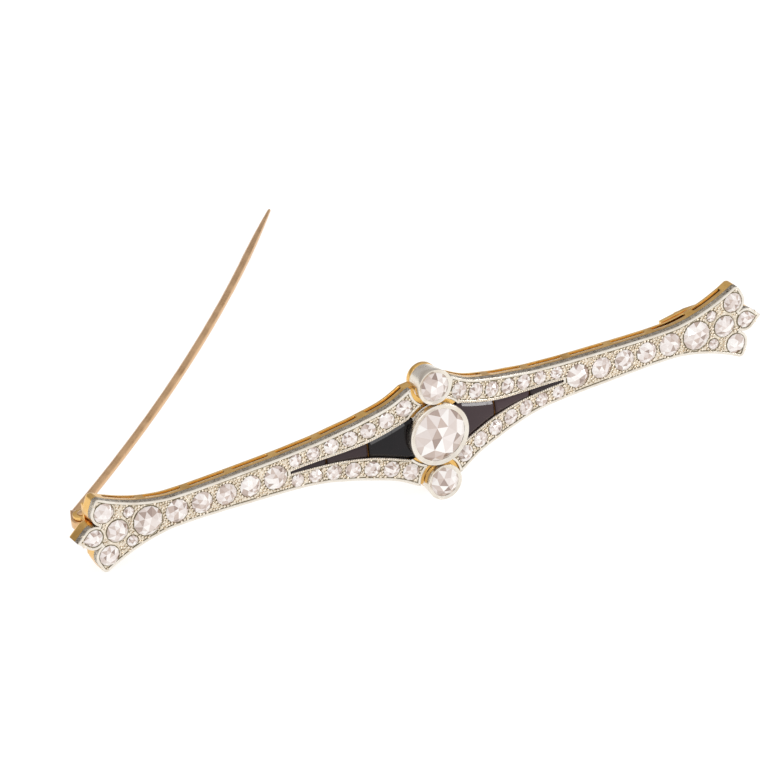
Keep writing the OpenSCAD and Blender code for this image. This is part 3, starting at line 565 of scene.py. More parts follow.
def top_loop():
    """Plan of the right arm's white top: outline, collars round the settings and the onyx window."""
    end = degrees(asin((SHOULDER_W - COLLET_Y) / COLLET_COLLAR))
    # where the two collars meet, seen from the main stone and from the collet
    cos_m = (COLLAR_R**2 + COLLET_Y**2 - COLLET_COLLAR**2) / (2 * COLLAR_R * COLLET_Y)
    meet = 90 - degrees(acos(cos_m))
    mx, my = polar(COLLAR_R, meet)
    start = degrees(atan2(my - COLLET_Y, mx))
    # where the onyx window leaves the main collar
    xs = np.linspace(ONYX_X0, COLLAR_R, 200)
    x0 = xs[int(np.argmin(np.abs(np.hypot(xs, onyx_w(xs)) - COLLAR_R)))]
    low = degrees(atan2(float(onyx_w(x0)), x0))
    window = [(x, float(onyx_w(x))) for x in np.linspace(x0, RAIL_L, 60)]
    inner = (window[::-1] + arc(0, 0, COLLAR_R, low, meet, 12)[1:-1].tolist()
             + arc(0, COLLET_Y, COLLET_COLLAR, start, end, 14)[:-1].tolist())
    stations = np.concatenate([[polar(COLLET_COLLAR, end)[0]], np.arange(2.6, FLARE_X, 0.25), [FLARE_X]])
    loop = np.array(inner + arm_edge(stations).tolist() + [(x, -y) for x, y in inner[::-1]])[::-1]
    keep = np.linalg.norm(loop - np.roll(loop, 1, 0), axis=1) > 1e-4
    return loop[keep], np.array(window)


def drop_path(x, r, s):
    """A drop round x on the bar's axis: a circle of radius r drawn out to a point s away."""
    t = degrees(acos(r / s))
    return np.concatenate([arc(x, 0, r, t, 360 - t, 40), [[x + s, 0]]])


def inside_of(loop):
    """A test that tells which points lie inside a closed loop."""
    p = np.asarray(loop, float)
    q = np.roll(p, -1, 0)
    rise = np.where(q[:, 1] == p[:, 1], 1e-12, q[:, 1] - p[:, 1])

    def inside(x, y):
        x, y = np.asarray(x)[:, None], np.asarray(y)[:, None]
        across = (p[:, 1] > y) != (q[:, 1] > y)
        left = x < (q[:, 0] - p[:, 0]) * (y - p[:, 1]) / rise + p[:, 0]
        return (across & left).sum(1) % 2 == 1
    return inside


def walk(path, step):
    """Points a step apart along an open path."""
    d = np.concatenate([[0], np.cumsum(np.linalg.norm(np.diff(path, axis=0), axis=1))])
    s = np.arange(0, d[-1], step)
    return np.column_stack([np.interp(s, d, path[:, 0]), np.interp(s, d, path[:, 1])])


def gem(shape, at, r, turn, rng, tilt=0.0, tip=0.0, finish=0, n=6):
    """Old-cut stone: an uneven table of n corners, star and kite facets, a girdle and a pavilion.
    tip draws one end out. The table is split into wedges; each face gets a painted reflection tone at random,
    standing for the pavilion facet that shows through it."""
    look = looks()
    girdle, deep, h = 0.08, r * 0.8, r * look.crown
    t = acos(r / tip) if tip else 0
    m = 2 * n
    ang = np.arange(m) * 2 * pi / m
    away = np.minimum(ang, 2 * pi - ang)
    long = np.where(away < t, 1 / np.cos(away - t), 1.0) if tip else np.ones(m)
    rim = np.column_stack([np.cos(ang), np.sin(ang)]) * (r * long)[:, None]
    low = np.column_stack([rim, np.zeros(m)])
    high = np.column_stack([rim, np.full(m, girdle)])
    star = np.column_stack([rim[1::2] * rng.uniform(0.7, 0.8, (n, 1)),
                            girdle + h * rng.uniform(0.5, 0.62, n)])
    shift = rng.uniform(-0.07, 0.07, 2) * r
    flat = np.column_stack([rim[0::2] * look.table * rng.uniform(0.85, 1.15, (n, 1)) + shift,
                            np.full(n, girdle + h)])
    heart = flat.mean(0) + np.append(rng.uniform(-0.14, 0.14, 2) * r, 0)
    pavilion = np.column_stack([rim[0::2] * 0.5, np.full(n, -deep * 0.55)])
    pts = np.concatenate([low, high, star, flat, pavilion, [[0, 0, -deep]], [heart]])
    # numbers of the first star, table and pavilion corner, of the pavilion's point and the table's heart
    stars, tables, pavs, point, middle = 2 * m, 2 * m + n, 2 * m + 2 * n, 2 * m + 3 * n, 2 * m + 3 * n + 1
    faces = [(tables + i, tables + (i + 1) % n, middle) for i in range(n)]
    faces += [(i, (i + 1) % m, m + (i + 1) % m, m + i) for i in range(m)]
    for i in range(n):
        s0, s1 = stars + i, stars + (i - 1) % n
        f0, f1 = tables + i, tables + (i + 1) % n
        g0, g1, g2 = m + 2 * i, m + 2 * i + 1, m + (2 * i + 2) % m
        faces += [(g0, g1, s0), (g1, g2, s0), (f0, f1, s0), (f0, s0, g0), (f0, g0, s1)]
        p0, p1 = pavs + i, pavs + (i + 1) % n
        a, b, c = 2 * i, 2 * i + 1, (2 * i + 2) % m
        faces += [(a, p0, b), (b, p1, c), (p0, p1, b), (p1, p0, point)]
    c, s = cos(turn), sin(turn)
    pts = pts @ np.array([[c, s, 0], [-s, c, 0], [0, 0, 1]])
    c, s = cos(tilt), sin(tilt)
    pts = pts @ np.array([[c, 0, -s], [0, 1, 0], [s, 0, c]])
    # each face gets a random painted reflection tone
    shape.add(pts + np.array(at, float), faces, finish, rng.uniform(0, 1, len(faces)))


def face_gem(shape, x, y, r, turn, rng, finish=0, line=1):
    """A stone in the face, leaning with it, with the dark line of its seat round it: painted shade of the
    groove.
    """
    z, reach, proud = float(face_z(x)), 0.4, 0.03
    lean = atan((face_z(x + reach) - face_z(x - reach)) / (2 * reach))
    gem(shape, (x, y, z - SEAT_D + proud), r, turn, rng, tilt=-lean, finish=finish)
    # the ring round the stone, in the line finish, is the groove's shade painted dark
    points, faces = lathe(strip(r - 0.05, r + 0.07, -0.25, -GROUND_D + proud), (0, 0, 0), 36)
    points[:, 2] += points[:, 0] * tan(lean) + z
    shape.add(points + (x, y, 0), faces, line)


class BROOCH_OT_gallery(bpy.types.Operator):
    """Pierced gold side wall with its slots, the web under the onyx, separators and foot rings"""
    bl_idname = "brooch.gallery"
    bl_label = "Gold gallery"

    def execute(self, context):
        shape = Shape()
        e = looks().edge * TO_MM
        self.wall(shape, e)
        # separators between the onyx pieces, all in the dark finish: painted shade of the gaps between them
        for side in BOTH:
            shape.side = side
            for x in (SEP_1, SEP_2):
                w, z = float(onyx_w(x)) - FIT, float(face_z(x))
                shape.block((x - SEP_W / 2, x + SEP_W / 2), (-w, w), (z - WEB_Z - 0.1, z - 0.32), 1)
        shape.side = 1
        self.web(shape)
        self.saddle(shape)
        # foot rings of the collets
        inner, outer, high = COLLET_FOOT - 0.02, COLLET_FOOT + BEZEL_T * 0.35, 0.6
        ring = soft_corner(outer, 0, -e, e) + soft_corner(outer, high, -e, -e)[::-1]
        for s in BOTH:
            shape.add(*lathe([(inner, 0)] + ring + [(inner, high)], (0, s * COLLET_Y, FOOT_Z), 72))
        shape.build("gallery", [polished_gold(), shade_painted_gold()], ["gold_gallery"], sharp=40)
        return {"FINISHED"}

    def wall(self, shape, e):
        """The side wall round each arm, sawn through by a row of round-ended slots."""
        begin, zc, half, t = 1.5, -WALL_H + SLOT_RAIL + SLOT_H / 2, SLOT_H / 2, GALLERY_T
        x0, x1 = COLLET_R + 0.7, LOBE_X
        pitch = (x1 - x0 + SLOT_BRIDGE) / SLOT_N
        slots = [(x0 + i * pitch, x0 + (i + 1) * pitch - SLOT_BRIDGE) for i in range(SLOT_N)]
        # stations along the bar, close together over the slots' round ends
        stations = {begin, FLARE_X}
        for a, b in slots:
            for u in (0, 0.02, 0.06, 0.12, 0.18):
                stations |= {a + u, b - u}
            stations |= set(np.linspace(a + 0.18, b - 0.18, 9).tolist()) | {b + SLOT_BRIDGE / 2}
        path = arm_edge(sorted(s for s in stations if begin <= s <= FLARE_X))

        def opening(x):
            """Half height of the slot at x, and whether there is one."""
            for a, b in slots:
                if x <= FLARE_X and a - 1e-9 <= x <= b + 1e-9:
                    u = min(x - a, b - x, half)
                    return sqrt(max(half**2 - (half - u) ** 2, 0)), True
            return half, False
        # the back edge is worn round, which catches the light along the whole bar
        wide, tall = 0.3, 0.42
        worn = [(wide - wide * cos(a), -WALL_H + tall - tall * sin(a))
                for a in np.radians((0, 22.5, 45, 67.5, 90))]
        # each slot is filed open towards the face, which shows its bright sill and, behind it, a band painted
        # dark as the shade inside the slot
        relief, brow, sill, bevel = 0.17, 0.12, 0.2, 0.04
        pts, cuts = [], []
        for (x, y), k in zip(path, -inward(path, False)):
            h, cut = opening(x)
            low = zc - max(h - bevel, 0)
            high = zc + max(h - bevel, 0)
            lift = relief * h / half if cut else 0
            section = [(0, -TOP_T - SOLDER), (0, zc + h + lift), (0, zc - h)] + worn
            section += soft_corner(t, -WALL_H, -e, e) + [(t, zc - h), (t, zc + h), (t, -TOP_T - SOLDER)]
            section += [(brow, high), (bevel, low), (sill, low)]
            pts += [(x + k[0] * d, y + k[1] * d, float(face_z(x)) + z) for d, z in section]
            cuts.append(cut)
        m = len(section)
        # pairs of corners that a face joins: always, beside the slots, in them, and in their depth, which is
        # painted dark as shade
        always = [(0, 1)] + [(j, j + 1) for j in range(2, 11)] + [(12, 13), (13, 0)]
        solid, open_, depth = [(1, 2), (11, 12)], [(14, 12), (16, 15), (15, 2)], [(1, 14), (11, 16)]
        faces, dark = [], []
        for i in range(len(cuts) - 1):
            a, b = i * m, (i + 1) * m
            hole = cuts[i] and cuts[i + 1]
            faces += [(a + p, b + p, b + q, a + q) for p, q in always + (open_ if hole else solid)]
            dark += [(a + p, b + p, b + q, a + q) for p, q in depth if hole]
        faces += [tuple(base + i for i in range(14)) for base in (0, (len(cuts) - 1) * m)]
        for side in BOTH:
            shape.side = side
            shape.add(pts, faces)
            # the slots' depth takes the dark finish, as painted shade
            shape.add(pts, dark, 1)

    def web(self, shape):
        """Thin gold floor under the onyx and round the centre, with cross bars between the rail stones."""
        reach, thick, bar, above_foot = RAIL_L + 0.3, 0.3, 0.2, 1.5
        bezel_r = BEZEL_FOOT + BEZEL_SLOPE * above_foot + FIT
        collet_r = COLLET_FOOT + COLLET_SLOPE * above_foot + FIT

        def width(x):
            x = np.abs(np.asarray(x, float))
            round_part = np.sqrt(np.clip((COLLAR_R + 0.9) ** 2 - x**2, 0, None))
            lane = np.where(x < reach, onyx_w(np.clip(x, ONYX_X0, RAIL_L)) + 0.55, 0)
            return np.minimum(half_w(x) - GALLERY_T * 0.5, np.maximum(round_part, lane))
        xs = np.linspace(-reach, reach, 160)
        upper = np.column_stack([xs, width(xs)])
        loops = [(np.concatenate([upper, upper[::-1] * (1, -1)]), True), (circle(0, 0, bezel_r, 72), True)]
        loops += [(circle(0, s * COLLET_Y, collet_r, 48), True) for s in BOTH]

        def keep(x, y):
            return ((np.abs(y) < width(x)) & (np.hypot(x, y) > bezel_r) & (np.abs(x) < reach)
                    & (np.hypot(x, np.abs(y) - COLLET_Y) > collet_r))
        shape.add(*plate(loops, keep, WEB_Z, WEB_Z + thick))
        for side in BOTH:
            for x in [rail_x + STEP / 2 for rail_x in RAIL_X[:-1:2]]:
                y0, y1 = float(width(x)) - 0.1, float(half_w(x)) - GALLERY_T * 0.5
                z = float(face_z(x)) - WEB_Z
                for s in BOTH:
                    shape.block((side * x - bar, side * x + bar), (s * y0, s * y1), (z - thick, z))

    def saddle(self, shape):
        """Gold between the settings and the white tops, just below the face, cut out for the onyx."""
        deep, edge, beside = 0.3, SHOULDER_W - 0.1, 0.1
        bezel_r, collet_r = BEZEL_MID + FIT, COLLET_MID + FIT
        main_r, side_r = COLLAR_R - 0.02, COLLET_COLLAR - 0.02
        loops = [(circle(0, 0, r, 96), True) for r in (bezel_r, main_r)]
        loops += [(circle(0, s * COLLET_Y, r, 72), True) for s in BOTH for r in (collet_r, side_r)]
        xs = np.linspace(ONYX_X0 * 0.9, COLLAR_R + 0.1, 12)
        loops += [(np.column_stack([t * xs, s * (onyx_w(xs) + beside)]), False) for s in BOTH for t in BOTH]
        loops += [(np.array([[-3, s * edge], [3, s * edge]]), False) for s in BOTH]

        def keep(x, y):
            main, side = np.hypot(x, y), np.hypot(x, np.abs(y) - COLLET_Y)
            window = np.abs(y) <= onyx_w(np.maximum(np.abs(x), ONYX_X0)) + beside
            return ((main < main_r) | (side < side_r)) & (main > bezel_r) & (side > collet_r) & ~window & (
                np.abs(y) < edge)
        shape.add(*plate(loops, keep, deep, WEB_Z + 0.05))


# Material numbers in a white top; the last is the dark painted shade of the grooves round the stones and
# inside the rim
GRAINED, STONE, SEAT_SHADE = 1, 2, 3


class BROOCH_OT_tops(bpy.types.Operator):
    """White tops of both arms with their rims, grains, beads and small stones"""
    bl_idname = "brooch.tops"
    bl_label = "White tops"

    def execute(self, context):
        loop, window = top_loop()
        inside = inside_of(loop)
        for side, arm in ARMS:
            rng = np.random.default_rng(looks().seed + side)
            shape = Shape(side)
            self.metal(shape, loop, inside)
            self.grains(shape, loop, inside, window, rng)
            for s in BOTH:
                for i, x in enumerate(RAIL_X):
                    face_gem(shape, x, s * rail_y(x), rail_r(x), 0.4 * i, rng, STONE, SEAT_SHADE)
                face_gem(shape, TINY_X, s * TINY_Y, TINY_D / 2, 0.2, rng, STONE, SEAT_SHADE)
            parts = ("top", "upper_rail_diamonds", "lower_rail_diamonds", "tiny_diamonds")
            shape.build(f"{arm}_top_with_field_stones",
                        [polished_platinum(), grained_platinum(), cut_diamond(), groove_shade_platinum()],
                        [f"{arm}_{part}" for part in parts], sharp=30, flat=(STONE,))
        return {"FINISHED"}

    def metal(self, shape, loop, inside):
        """Bright rim, a groove inside it painted dark as shade, and the sunk ground with a bore behind each
        stone.
        """
        e, inner = looks().edge * TO_MM, RIM_W + 0.03
        rim = [(0, -TOP_T)] + soft_corner(0, 0, e, -e)[::-1] + soft_corner(RIM_W, 0, -e, -e)
        shape.add(*sweep(loop, rim + [(inner, -GROUND_D - 0.05), (inner, -TOP_T)]))
        # the groove inside the rim, painted dark as its shade
        shape.add(*sweep(loop, strip(RIM_W, RIM_W + 0.07, -0.4, -GROUND_D + 0.05)), SEAT_SHADE)
        bores = ROW + [(LAST_X, 0, LAST_D / 2), (TREFOIL_X, 0, TREFOIL_D / 2)] + RAILS
        bores += [(x, s * y, d / 2) for x, y, d in ((LOBE_X, LOBE_Y, LOBE_D), (TINY_X, TINY_Y, TINY_D))
                  for s in BOTH]
        pear = drop_path(PEAR_X, PEAR_D * 0.41, PEAR_POINT * 0.82)
        # lines across the bar let the ground follow the face's curve
        lines = [(np.array([[x, -7], [x, 7]]), False) for x in np.arange(1, 17, 0.5)]
        lines += [(circle(x, y, r * 0.82, 24), True) for x, y, r in bores] + [(pear, True)]
        in_pear, hole = inside_of(pear), np.array(bores)

        def keep(x, y):
            away = np.hypot(x[:, None] - hole[:, 0], y[:, None] - hole[:, 1]) > hole[:, 2] * 0.815
            return inside(x, y) & away.all(1) & ~in_pear(x, y)
        shape.add(*plate([(loop, True)] + lines, keep, GROUND_D, TOP_T), GRAINED)

    def grains(self, shape, loop, inside, window, rng):
        """Grains round the stones and over the ground, and a line of beads beside the onyx."""
        look = looks()
        g = look.grain_r * TO_MM
        # x, y and radius, with a little more room round the larger stones
        stones = ROW + [(LAST_X, 0, LAST_D / 2 + 0.1)] + RAILS
        stones += [(TREFOIL_X, 0, TREFOIL_D / 2 + 0.15), (PEAR_X, 0, PEAR_D / 2 + 0.2)]
        stones += [(LOBE_X, s * LOBE_Y, LOBE_D / 2 + 0.2) for s in BOTH]
        stones += [(TINY_X, s * TINY_Y, TINY_D / 2 + 0.08) for s in BOTH]
        field = np.array(stones)

        def room(p, beside_stone, beside_rim):
            """Whether a grain at p keeps clear of the stones and the rim; distances in grain radii."""
            stone = np.hypot(field[:, 0] - p[0], field[:, 1] - p[1]) - field[:, 2]
            edge = np.hypot(loop[:, 0] - p[0], loop[:, 1] - p[1])
            return stone.min() > g * beside_stone and edge.min() > RIM_W + g * beside_rim
        spots = []
        for x, y, r in stones:
            count = max(8, int(2 * pi * (r + g) / (2.3 * g)))
            for a in np.arange(count) * 2 * pi / count + rng.uniform(0, 1):
                p = np.array([x + (r + g * 0.75) * cos(a), y + (r + g * 0.75) * sin(a)])
                if room(p, 0.6, 0.2) and inside(p[:1], p[1:])[0]:
                    if all((p[0] - q[0]) ** 2 + (p[1] - q[1]) ** 2 > (1.6 * g) ** 2 for q in spots[-60:]):
                        spots.append(p)
        # the rest of the ground, filled with grains as closely as they go
        pitch = g * 1.75
        xs, ys = np.meshgrid(np.arange(2, HALF, pitch), np.arange(-6, 6, pitch * 0.87))
        xs = xs + (np.arange(len(ys)) % 2)[:, None] * pitch / 2
        ground = np.column_stack([xs.ravel(), ys.ravel()]) + rng.uniform(-0.25, 0.25, (xs.size, 2)) * g
        for p in ground[inside(ground[:, 0], ground[:, 1])]:
            if room(p, 0.5, 0.4) and np.min(np.sum((np.array(spots) - p) ** 2, axis=1)) > (1.5 * g) ** 2:
                spots.append(p)
        spots = np.array(spots)
        beads(shape, np.column_stack([spots, face_z(spots[:, 0]) - GROUND_D + 0.03]), g, 0.9, rng)
        for s in BOTH:
            path = np.column_stack([window[:, 0], s * (window[:, 1] + RIM_W * 0.45)])
            row = walk(path, look.bead_step * TO_MM)
            beads(shape, np.column_stack([row, face_z(row[:, 0]) - 0.01]), look.bead_r * TO_MM, 1.0, rng)


class BROOCH_OT_settings(bpy.types.Operator):
    """Main bezel and the two collets, each a tapered tube whose rim laps over its stone"""
    bl_idname = "brooch.settings"
    bl_label = "Centre settings"

    def execute(self, context):
        self.setting("main_bezel", 0, BEZEL_FOOT, BEZEL_SLOPE, BEZEL_T, MAIN_R, MAIN_DROP, 0.13, upright=0.85)
        for node, y in (("upper_collet", COLLET_Y), ("lower_collet", -COLLET_Y)):
            self.setting(node, y, COLLET_FOOT, COLLET_SLOPE, COLLET_T, SIDE_R, SIDE_DROP, 0.08)
        return {"FINISHED"}

    def setting(self, node, y, foot, slope, wall, stone_r, drop, lap, upright=0.0):
        """A tapered tube that covers its stone by lap; upright is the taper's share lost above the face."""
        e = looks().edge * TO_MM * 1.3
        top, lip = RIM_Z - FOOT_Z, wall * 0.8
        rim, seat = foot + slope * top, top - drop
        low = FACE_RISE - FOOT_Z + 0.03
        brow, taper = low + 0.15, slope * (1 - upright)
        outside = [(foot - wall, 0), (foot, 0), (foot + slope * low, low), (rim - taper * (top - brow), brow),
                   (rim - taper * e, top - e), (rim - e * 0.3, top - e * 0.3), (rim - e, top)]
        inside = [(rim - wall * 0.45, top - 0.01), (rim - wall * 0.6, top - 0.03), (stone_r - lap, top - 0.1),
                  (stone_r + FIT, seat - FIT), (stone_r + FIT - lip, seat - FIT - lip * 0.8),
                  (foot + slope * seat - wall * 1.9, seat - wall * 2.9)]
        shape = Shape()
        shape.add(*lathe(outside + inside, (0, y, FOOT_Z), 96))
        shape.build(node + "_setting", [polished_platinum()], [node], sharp=50)


class BROOCH_OT_onyx(bpy.types.Operator):
    """Six onyx inlays, three on each side, with flat tops and low polished bevels"""
    bl_idname = "brooch.onyx"
    bl_label = "Onyx inlays"

    def execute(self, context):
        room = SEP_W / 2 + FIT
        spans = {"inner": (ONYX_X0 * 0.99, SEP_1 - room), "middle": (SEP_1 + room, SEP_2 - room),
                 "tip": (SEP_2 + room, RAIL_L - 0.1)}
        # how much painted brown reflection each piece has
        brown = {"right": {"inner": 0.6, "middle": 0.75, "tip": 0.3},
                 "left": {"inner": 0.0, "middle": 0.45, "tip": 0.3}}
        # section as (share of the half width, inset, height): a flat top with a wide, low bevel on both edges
        bottom, dip = -0.72, 0.12
        section = [(-1, 0, bottom), (-1, 0, -0.25), (-1, 0.05, -0.2), (-1, 0.36, -0.06), (-0.5, 0.2, -0.03)]
        section += [(-u, -inset, z) for u, inset, z in section[::-1]]
        for side, arm in ARMS:
            for part, (a, b) in spans.items():
                xs = np.linspace(a, b, 26)
                pts = []
                for x, w in zip(xs, np.maximum(onyx_w(xs) - FIT, 0.03)):
                    # the ends dip a little; at the main bezel the end is curved instead
                    end = min(b - x, dip if part == "inner" else x - a, dip) - dip
                    narrow = min(1, w / 0.8)
                    for u, inset, z in section:
                        pts.append([x, u * w + inset * narrow,
                                    float(face_z(x)) + (z if z == bottom else z * narrow + end)])
                if part == "inner":
                    w = max(float(onyx_w(a)) - FIT, 0.03)
                    for i, (u, inset, z) in enumerate(section):
                        x = sqrt(max((BEZEL_MID + 2 * FIT) ** 2 - (u * w + inset) ** 2, 0))
                        pts[i][0], pts[i][2] = x, float(face_z(x)) + z
                shape = Shape(side)
                shape.add(pts, tube(len(xs), len(section), False), 0, brown[arm][part])
                node = f"{arm}_onyx_{part}"
                shape.build(node + "_inlay", [polished_onyx()], [node], sharp=12)
        return {"FINISHED"}


class BROOCH_OT_stones(bpy.types.Operator):
    """Main stone, its two side stones, the rows of the arms and the trefoils"""
    bl_idname = "brooch.stones"
    bl_label = "Larger stones"

    def execute(self, context):
        rng = np.random.default_rng(looks().seed + 20)

        def single(node, side, draw, *place, **more):
            """One stone as a piece of its own, drawn by draw."""
            shape = Shape(side)
            draw(shape, *place, rng=rng, **more)
            shape.build(node.replace("diamond", "stone"), [cut_diamond(), groove_shade_platinum()], [node],
                        sharp=30, flat=(0,))
        single("main_diamond", 1, gem, (0, 0, RIM_Z - MAIN_DROP), MAIN_R, 0.2, n=7)
        single("upper_diamond", 1, gem, (0, COLLET_Y, RIM_Z - SIDE_DROP), SIDE_R, 0.35)
        single("lower_diamond", 1, gem, (0, -COLLET_Y, RIM_Z - SIDE_DROP), SIDE_R, -0.14)
        for side, arm in ARMS:
            for i, (x, y, r) in enumerate(ROW):
                single(f"{arm}_row_diamond_{i + 1}", side, face_gem, x, y, r, 0.7 * i + 0.3 * side)
            single(f"{arm}_row_diamond_last", side, face_gem, LAST_X, 0, LAST_D / 2, 0.14)
            single(f"{arm}_trefoil_diamond", side, face_gem, TREFOIL_X, 0, TREFOIL_D / 2, 0.4)
            for t, where in ((1, "upper"), (-1, "lower")):
                single(f"{arm}_{where}_lobe_diamond", side, face_gem, LOBE_X, side * t * LOBE_Y, LOBE_D / 2,
                       0.7 * t)
            single(f"{arm}_pear_diamond", side, self.pear)
        return {"FINISHED"}

    def pear(self, shape, rng):
        """The pear of a trefoil, its point outward, with the dark line of its seat: painted shade of the
        groove.
        """
        gem(shape, (PEAR_X, 0, -SEAT_D), PEAR_D * 0.465, 0, rng, tip=PEAR_POINT * 0.93)
        shape.add(*sweep(drop_path(PEAR_X, PEAR_D / 2, PEAR_POINT), strip(0.1, -0.02, -0.25, -0.06)), 1)


class BROOCH_OT_pin(bpy.types.Operator):
    """Pin wire with its eye and its tapered point"""
    bl_idname = "brooch.pin"
    bl_label = "Pin"

    def execute(self, context):
        shape = Shape()
        self.eye(shape)
        self.wire(shape)
        shape.build("pin_wire", [drawn_gold()], ["pin"], sharp=50, body="pin")
        return {"FINISHED"}

    def eye(self, shape):
        """The eye, drawn out into a flat neck that the wire leaves at one side."""
        e, h = 0.12, PIN_D / 2 + PIN_PLAY
        corners = [np.array((NECK_L, -PIN_SET - PIN_D / 2 + 0.03)),
                   np.array((NECK_L + 0.3, -PIN_SET + PIN_D / 2 - 0.03))]
        last, first = [atan2(y, x) + s * acos(EYE_R / hypot(x, y))
                       for (x, y), s in zip(corners, (-1, 1))]
        turns = np.linspace(first, last + 2 * pi, 40)
        edge = [EYE_R * np.array((cos(t), sin(t))) for t in turns]
        for a, b in ((edge[-1], corners[0]), corners, (corners[1], edge[0])):
            edge += [a * (1 - t) + b * t for t in np.linspace(0, 1, 9)[1:]]
        edge = np.array(edge[:-1])
        inset = inward(edge, True) * e
        bore = edge / np.linalg.norm(edge, axis=1)[:, None] * (RIVET_D / 2 + FIT)
        c, s = polar(1, -PIN_OPEN)
        rows = soft_corner(edge, -h, inset, e) + soft_corner(edge, h, inset, -e)[::-1]
        rows = [np.insert(ring @ np.array(((c, s), (-s, c))), 1, y, axis=1)
                for ring, y in [(bore, -h)] + rows + [(bore, h)]]
        shape.add(np.stack(rows, 1).reshape(-1, 3) + (HINGE_X, 0, HINGE_Z), tube(len(edge), len(rows), True))

    def wire(self, shape):
        """The wire, evenly bent as far as its taper, which runs straight to a rounded point."""
        def out(a):
            return np.array((sin(radians(a)), cos(radians(a))))
        bend_r = (PIN_L - TAPER_L) / radians(PIN_BEND)
        centre = np.array((HINGE_X, HINGE_Z)) - out(PIN_OPEN) * (bend_r + PIN_SET)
        start, end = PIN_OPEN + degrees(NECK_L / bend_r), PIN_OPEN + PIN_BEND
        line = [(centre + bend_r * out(a), out(a), PIN_D / 2) for a in np.linspace(start, end, 90)]
        taper = [(TAPER_L * t, PIN_D / 2 + (POINT_D - PIN_D) / 2 * t ** 1.7)
                 for t in np.linspace(0, 1, 30)[1:]]
        taper += [(TAPER_L + POINT_D / 2 * q, POINT_D / 2 * sqrt(1 - q * q)) for q in (0.5, 0.8, 0.97)]
        x, z = out(end)
        line += [(centre + bend_r * out(end) + d * np.array((z, -x)), out(end), r) for d, r in taper]
        k = 20
        u = np.arange(k) * 2 * pi / k
        pts = [np.column_stack([p[0] + way[0] * r * np.cos(u), r * np.sin(u), p[1] + way[1] * r * np.cos(u)])
               for p, way, r in line]
        shape.add(np.concatenate(pts), tube(len(line), k, False))


class BROOCH_OT_fittings(bpy.types.Operator):
    """Hinge block with its rivet, and the catch, with their edges softened by polishing"""
    bl_idname = "brooch.fittings"
    bl_label = "Hinge and catch"

    def execute(self, context):
        for node, width in (("hinge_block", 0.1), ("catch_hook", 0.12)):
            mesh = frame["nodes"][node].data.copy()
            mesh.name = node + "_softened"
            bm = bmesh.new()
            bm.from_mesh(mesh)
            bmesh.ops.remove_doubles(bm, verts=bm.verts, dist=MERGE)
            bmesh.ops.dissolve_limit(bm, angle_limit=radians(1), verts=bm.verts, edges=bm.edges)
            bmesh.ops.recalc_face_normals(bm, faces=bm.faces)
            bm.to_mesh(mesh)
            bm.free()
            mesh.materials.clear()
            mesh.materials.append(polished_gold())
            mesh.shade_smooth()
            obj = link(mesh.name, mesh)
            soften = obj.modifiers.new("Polished edges", "BEVEL")
            soften.width = width * TO_M
            soften.segments = 2
            soften.limit_method = "ANGLE"
            soften.angle_limit = radians(40)
            soften.harden_normals = True
            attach(obj, "brooch")
            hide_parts(node)
        # the rivet, from its middle to one of its two domed heads
        seat = PIN_D / 2 + PIN_PLAY + 0.05 + EAR_T + 0.02
        r, dome = RIVET_HEAD / 2, 0.14
        half = [(RIVET_D / 2, seat), (r, seat), (r, seat + dome * 0.2), (r * 0.86, seat + dome * 0.62),
                (r * 0.5, seat + dome * 0.93), (0.001, seat + dome)]
        shape = Shape()
        shape.add(*lathe([(x, -y) for x, y in half[::-1]] + half, (HINGE_X, 0, HINGE_Z), 40, "y"))
        shape.build("rivet_domed", [drawn_gold()], ["hinge_rivet"], sharp=40)
        return {"FINISHED"}


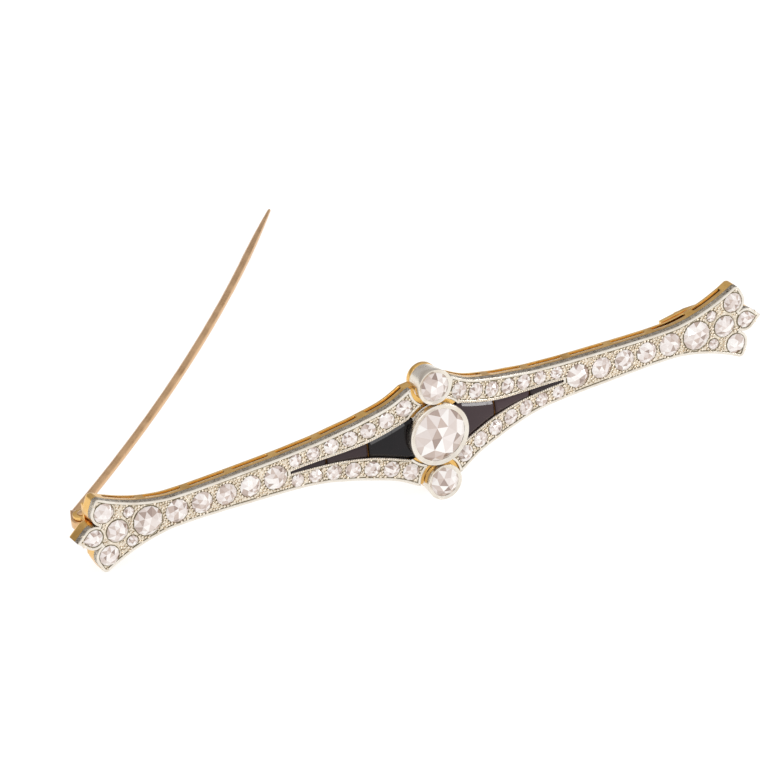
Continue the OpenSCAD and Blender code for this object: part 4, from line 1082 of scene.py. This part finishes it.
class BROOCH_OT_stage(bpy.types.Operator):
    """Pale floor, soft studio light and the camera"""
    bl_idname = "brooch.stage"
    bl_label = "Stage"

    def execute(self, context):
        scene = context.scene
        self.floor()
        self.world(scene)
        self.lights()
        self.camera(scene)
        scene.view_settings.view_transform = "Standard"
        return {"FINISHED"}

    def floor(self):
        bm = bmesh.new()
        bmesh.ops.create_grid(bm, x_segments=8, y_segments=8, size=3.0)
        mesh = bpy.data.meshes.new("floor")
        bm.to_mesh(mesh)
        bm.free()
        mesh.materials.append(white_card())
        floor = link("floor", mesh)
        floor.location = (0, 0, -0.00002)

    def world(self, scene):
        """A white tent over a grey horizon, lighter in front."""
        world = bpy.data.worlds.new("studio_tent")
        scene.world = world
        world.use_nodes = True
        tree = world.node_tree
        tree.nodes.clear()
        way = add(tree, "ShaderNodeTexCoord")
        split = add(tree, "ShaderNodeSeparateXYZ", {}, {0: way.outputs["Generated"]})
        height = add(tree, "ShaderNodeValToRGB", {}, {"Fac": split.outputs[2]},
                     [(0.0, (0.55, 0.53, 0.53, 1)), (0.3, (0.47, 0.45, 0.45, 1)),
                      (0.55, (0.62, 0.61, 0.61, 1)), (0.9, (0.95, 0.95, 0.95, 1))])
        front = add(tree, "ShaderNodeMapRange", {"From Min": 0.35, "From Max": -0.25},
                    {"Value": split.outputs[1]})
        tent = add(tree, "ShaderNodeMix", {"data_type": "RGBA", 7: (0.95, 0.94, 0.95, 1)},
                   {0: front, 6: height})
        shine = add(tree, "ShaderNodeBackground", {"Strength": 1.0}, {"Color": tent.outputs[2]})
        add(tree, "ShaderNodeOutputWorld", {}, {0: shine})

    def lights(self):
        """Three round lamps aimed at the brooch, each with its place and size in metres and its watts."""
        for name, place, size, power in (("key", (-0.5, -0.3, 0.6), 0.3, 0.6),
                                         ("right", (0.64, -0.47, 0.26), 0.15, 0.8),
                                         ("left", (-0.12, -0.73, 0.38), 0.16, 0.25)):
            lamp = bpy.data.lights.new(name, "AREA")
            lamp.shape = "DISK"
            lamp.size = size
            lamp.energy = power
            obj = link(name, lamp)
            obj.location = place
            obj.rotation_euler = (-Vector(place)).to_track_quat("-Z", "Y").to_euler()

    def camera(self, scene):
        """The photograph's view: directions in the bar's frame, fitted to its measured points."""
        right = (TURN @ Vector((0.875, -0.100, 0.473))).normalized()
        back = (TURN @ Vector((-0.386, 0.444, 0.808))).normalized()
        up = back.cross(right).normalized()
        right = up.cross(back).normalized()
        place = ORIGIN + (right * -4.585 + up * 4.33 + back * 552.9) * TO_M
        focal_px, picture_px, sensor_mm = 5407, 768, 36
        lens = bpy.data.cameras.new("camera")
        lens.sensor_width = sensor_mm
        lens.lens = focal_px * sensor_mm / picture_px
        lens.clip_start, lens.clip_end = 0.05, 20
        scene.camera = link("camera", lens)
        turn = Matrix((right, up, back)).transposed().to_4x4()
        scene.camera.matrix_world = Matrix.Translation(place) @ turn


PIECES = (BROOCH_OT_gallery, BROOCH_OT_tops, BROOCH_OT_settings, BROOCH_OT_onyx, BROOCH_OT_stones,
          BROOCH_OT_pin, BROOCH_OT_fittings, BROOCH_OT_stage)


class BROOCH_PT_panel(bpy.types.Panel):
    """Sizes, colours and pieces of the brooch"""
    bl_label = "Bar brooch"
    bl_idname = "BROOCH_PT_panel"
    bl_space_type = "VIEW_3D"
    bl_region_type = "UI"
    bl_category = "Brooch"

    def draw(self, context):
        look = context.scene.brooch_looks
        for key in look.__annotations__:
            self.layout.prop(look, key)
        for piece in PIECES:
            self.layout.operator(piece.bl_idname)


CLASSES = (BroochLooks,) + PIECES + (BROOCH_PT_panel,)


def register():
    for c in CLASSES:
        bpy.utils.register_class(c)
    bpy.types.Scene.brooch_looks = PointerProperty(type=BroochLooks)


def unregister():
    del bpy.types.Scene.brooch_looks
    for c in reversed(CLASSES):
        bpy.utils.unregister_class(c)


def main():
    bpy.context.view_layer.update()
    register()
    for piece in PIECES:
        group, name = piece.bl_idname.split(".")
        getattr(getattr(bpy.ops, group), name)()
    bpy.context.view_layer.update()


if __name__ == "__main__":
    main()
